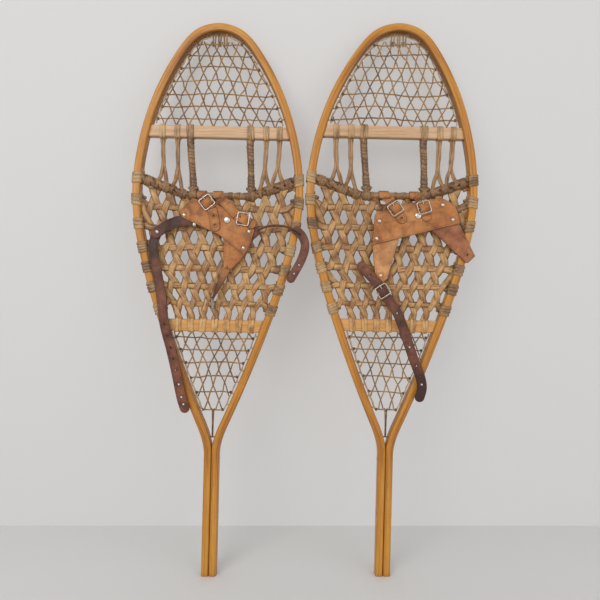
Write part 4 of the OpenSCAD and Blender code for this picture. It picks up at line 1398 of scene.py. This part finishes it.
def plain(name, colour, rough, see_through=False, painted_glow=0.0):
    """A matt wall or floor, which may give off a little light as painted light that lifts the shadows on
    it. A see-through one is hidden from a camera behind it.
    """
    g = Graph(name)
    grain = g.noise(g.place(), 60.0, 4.0)
    shader = g.add("ShaderNodeBsdfPrincipled", {
        "Base Color": g.mix(g.times(grain, 0.06), colour, shaded(colour, 0.8)),
        "Roughness": rough, "Specular IOR Level": 0.25, "Normal": g.bump(grain, 0.0004, 0.2),
        "Emission Color": (1.0, 0.985, 0.975, 1.0), "Emission Strength": painted_glow,
    })
    if see_through:
        behind = g.add("ShaderNodeNewGeometry", out="Backfacing")
        camera = g.add("ShaderNodeLightPath", out="Is Camera Ray")
        clear = g.add("ShaderNodeBsdfTransparent")
        shader = g.add("ShaderNodeMixShader", {0: g.times(behind, camera), 1: shader, 2: clear})
    return g.finish(shader)


def flat(name, corners, material):
    mesh = bpy.data.meshes.new(name)
    mesh.from_pydata(corners, [], [(0, 1, 2, 3)])
    mesh.materials.append(material)
    add_object(name, mesh)


def light(name, place, target, size, power, colour):
    data = bpy.data.lights.new(name, "AREA")
    data.shape = "DISK"
    data.size = size
    data.energy = power
    data.color = colour
    obj = add_object(name, data)
    obj.location = place
    obj.rotation_mode = "QUATERNION"
    obj.rotation_quaternion = (Vector(target) - Vector(place)).to_track_quat("-Z", "Y")


def room():
    """A floor, and a wall close behind the toes and further behind the tails, as the pair leans on it."""
    hi = cad_box[1]
    reach, half, top = 6, 4, 2.2
    flat("floor", [(-reach, -reach, 0), (reach, -reach, 0), (reach, reach, 0), (-reach, reach, 0)],
         plain("pale_floor", (0.70, 0.70, 0.69), 0.7))
    foot = hi.y + 0.20
    head = foot - (foot - hi.y - 0.012) / hi.z * top
    # The wall gives off a little light of its own: painted light that lifts the shadows on it
    flat("wall", [(-half, foot, 0), (half, foot, 0), (half, head, top), (-half, head, top)],
         plain("pale_wall", (0.38, 0.375, 0.37), 0.75, True, 0.29))


def lights():
    light("key", (-1.1, -2.3, 1.7), (0, 0, 0.6), size=1.9, power=31, colour=(1.0, 0.985, 0.965))
    light("fill", (1.7, -2.0, 0.9), (0, 0, 0.5), size=2.2, power=13, colour=(0.98, 0.985, 1.0))
    light("back", (0.6, 2.2, 2.0), (0, 0, 0.6), size=1.6, power=22, colour=(1.0, 1.0, 1.0))
    world = bpy.data.worlds.new("studio")
    world.use_nodes = True
    background = next(n for n in world.node_tree.nodes if n.type == "BACKGROUND")
    background.inputs[0].default_value = (0.98, 0.985, 1.0, 1.0)
    background.inputs[1].default_value = 0.62
    bpy.context.scene.world = world
    bpy.context.scene.view_settings.view_transform = "Standard"
    bpy.context.scene.view_settings.look = "None"


def camera():
    """Level with the middle of the heavy webbing, and a little right of the midpoint between the tails."""
    data = bpy.data.cameras.new("camera")
    data.sensor_width = 36.0
    data.lens = 30.5
    # The view's width in metres at the snowshoes' front
    view_width = 1.1676
    distance = data.lens / data.sensor_width * view_width
    obj = add_object("camera", data)
    obj.location = (0.0089, -STRIP_D / 2 * MM - distance, CORD_AT * MM - 0.205)
    obj.rotation_euler = (math.pi / 2, 0, 0)
    bpy.context.scene.camera = obj


build(-1)
build(1)
room()
lights()
camera()
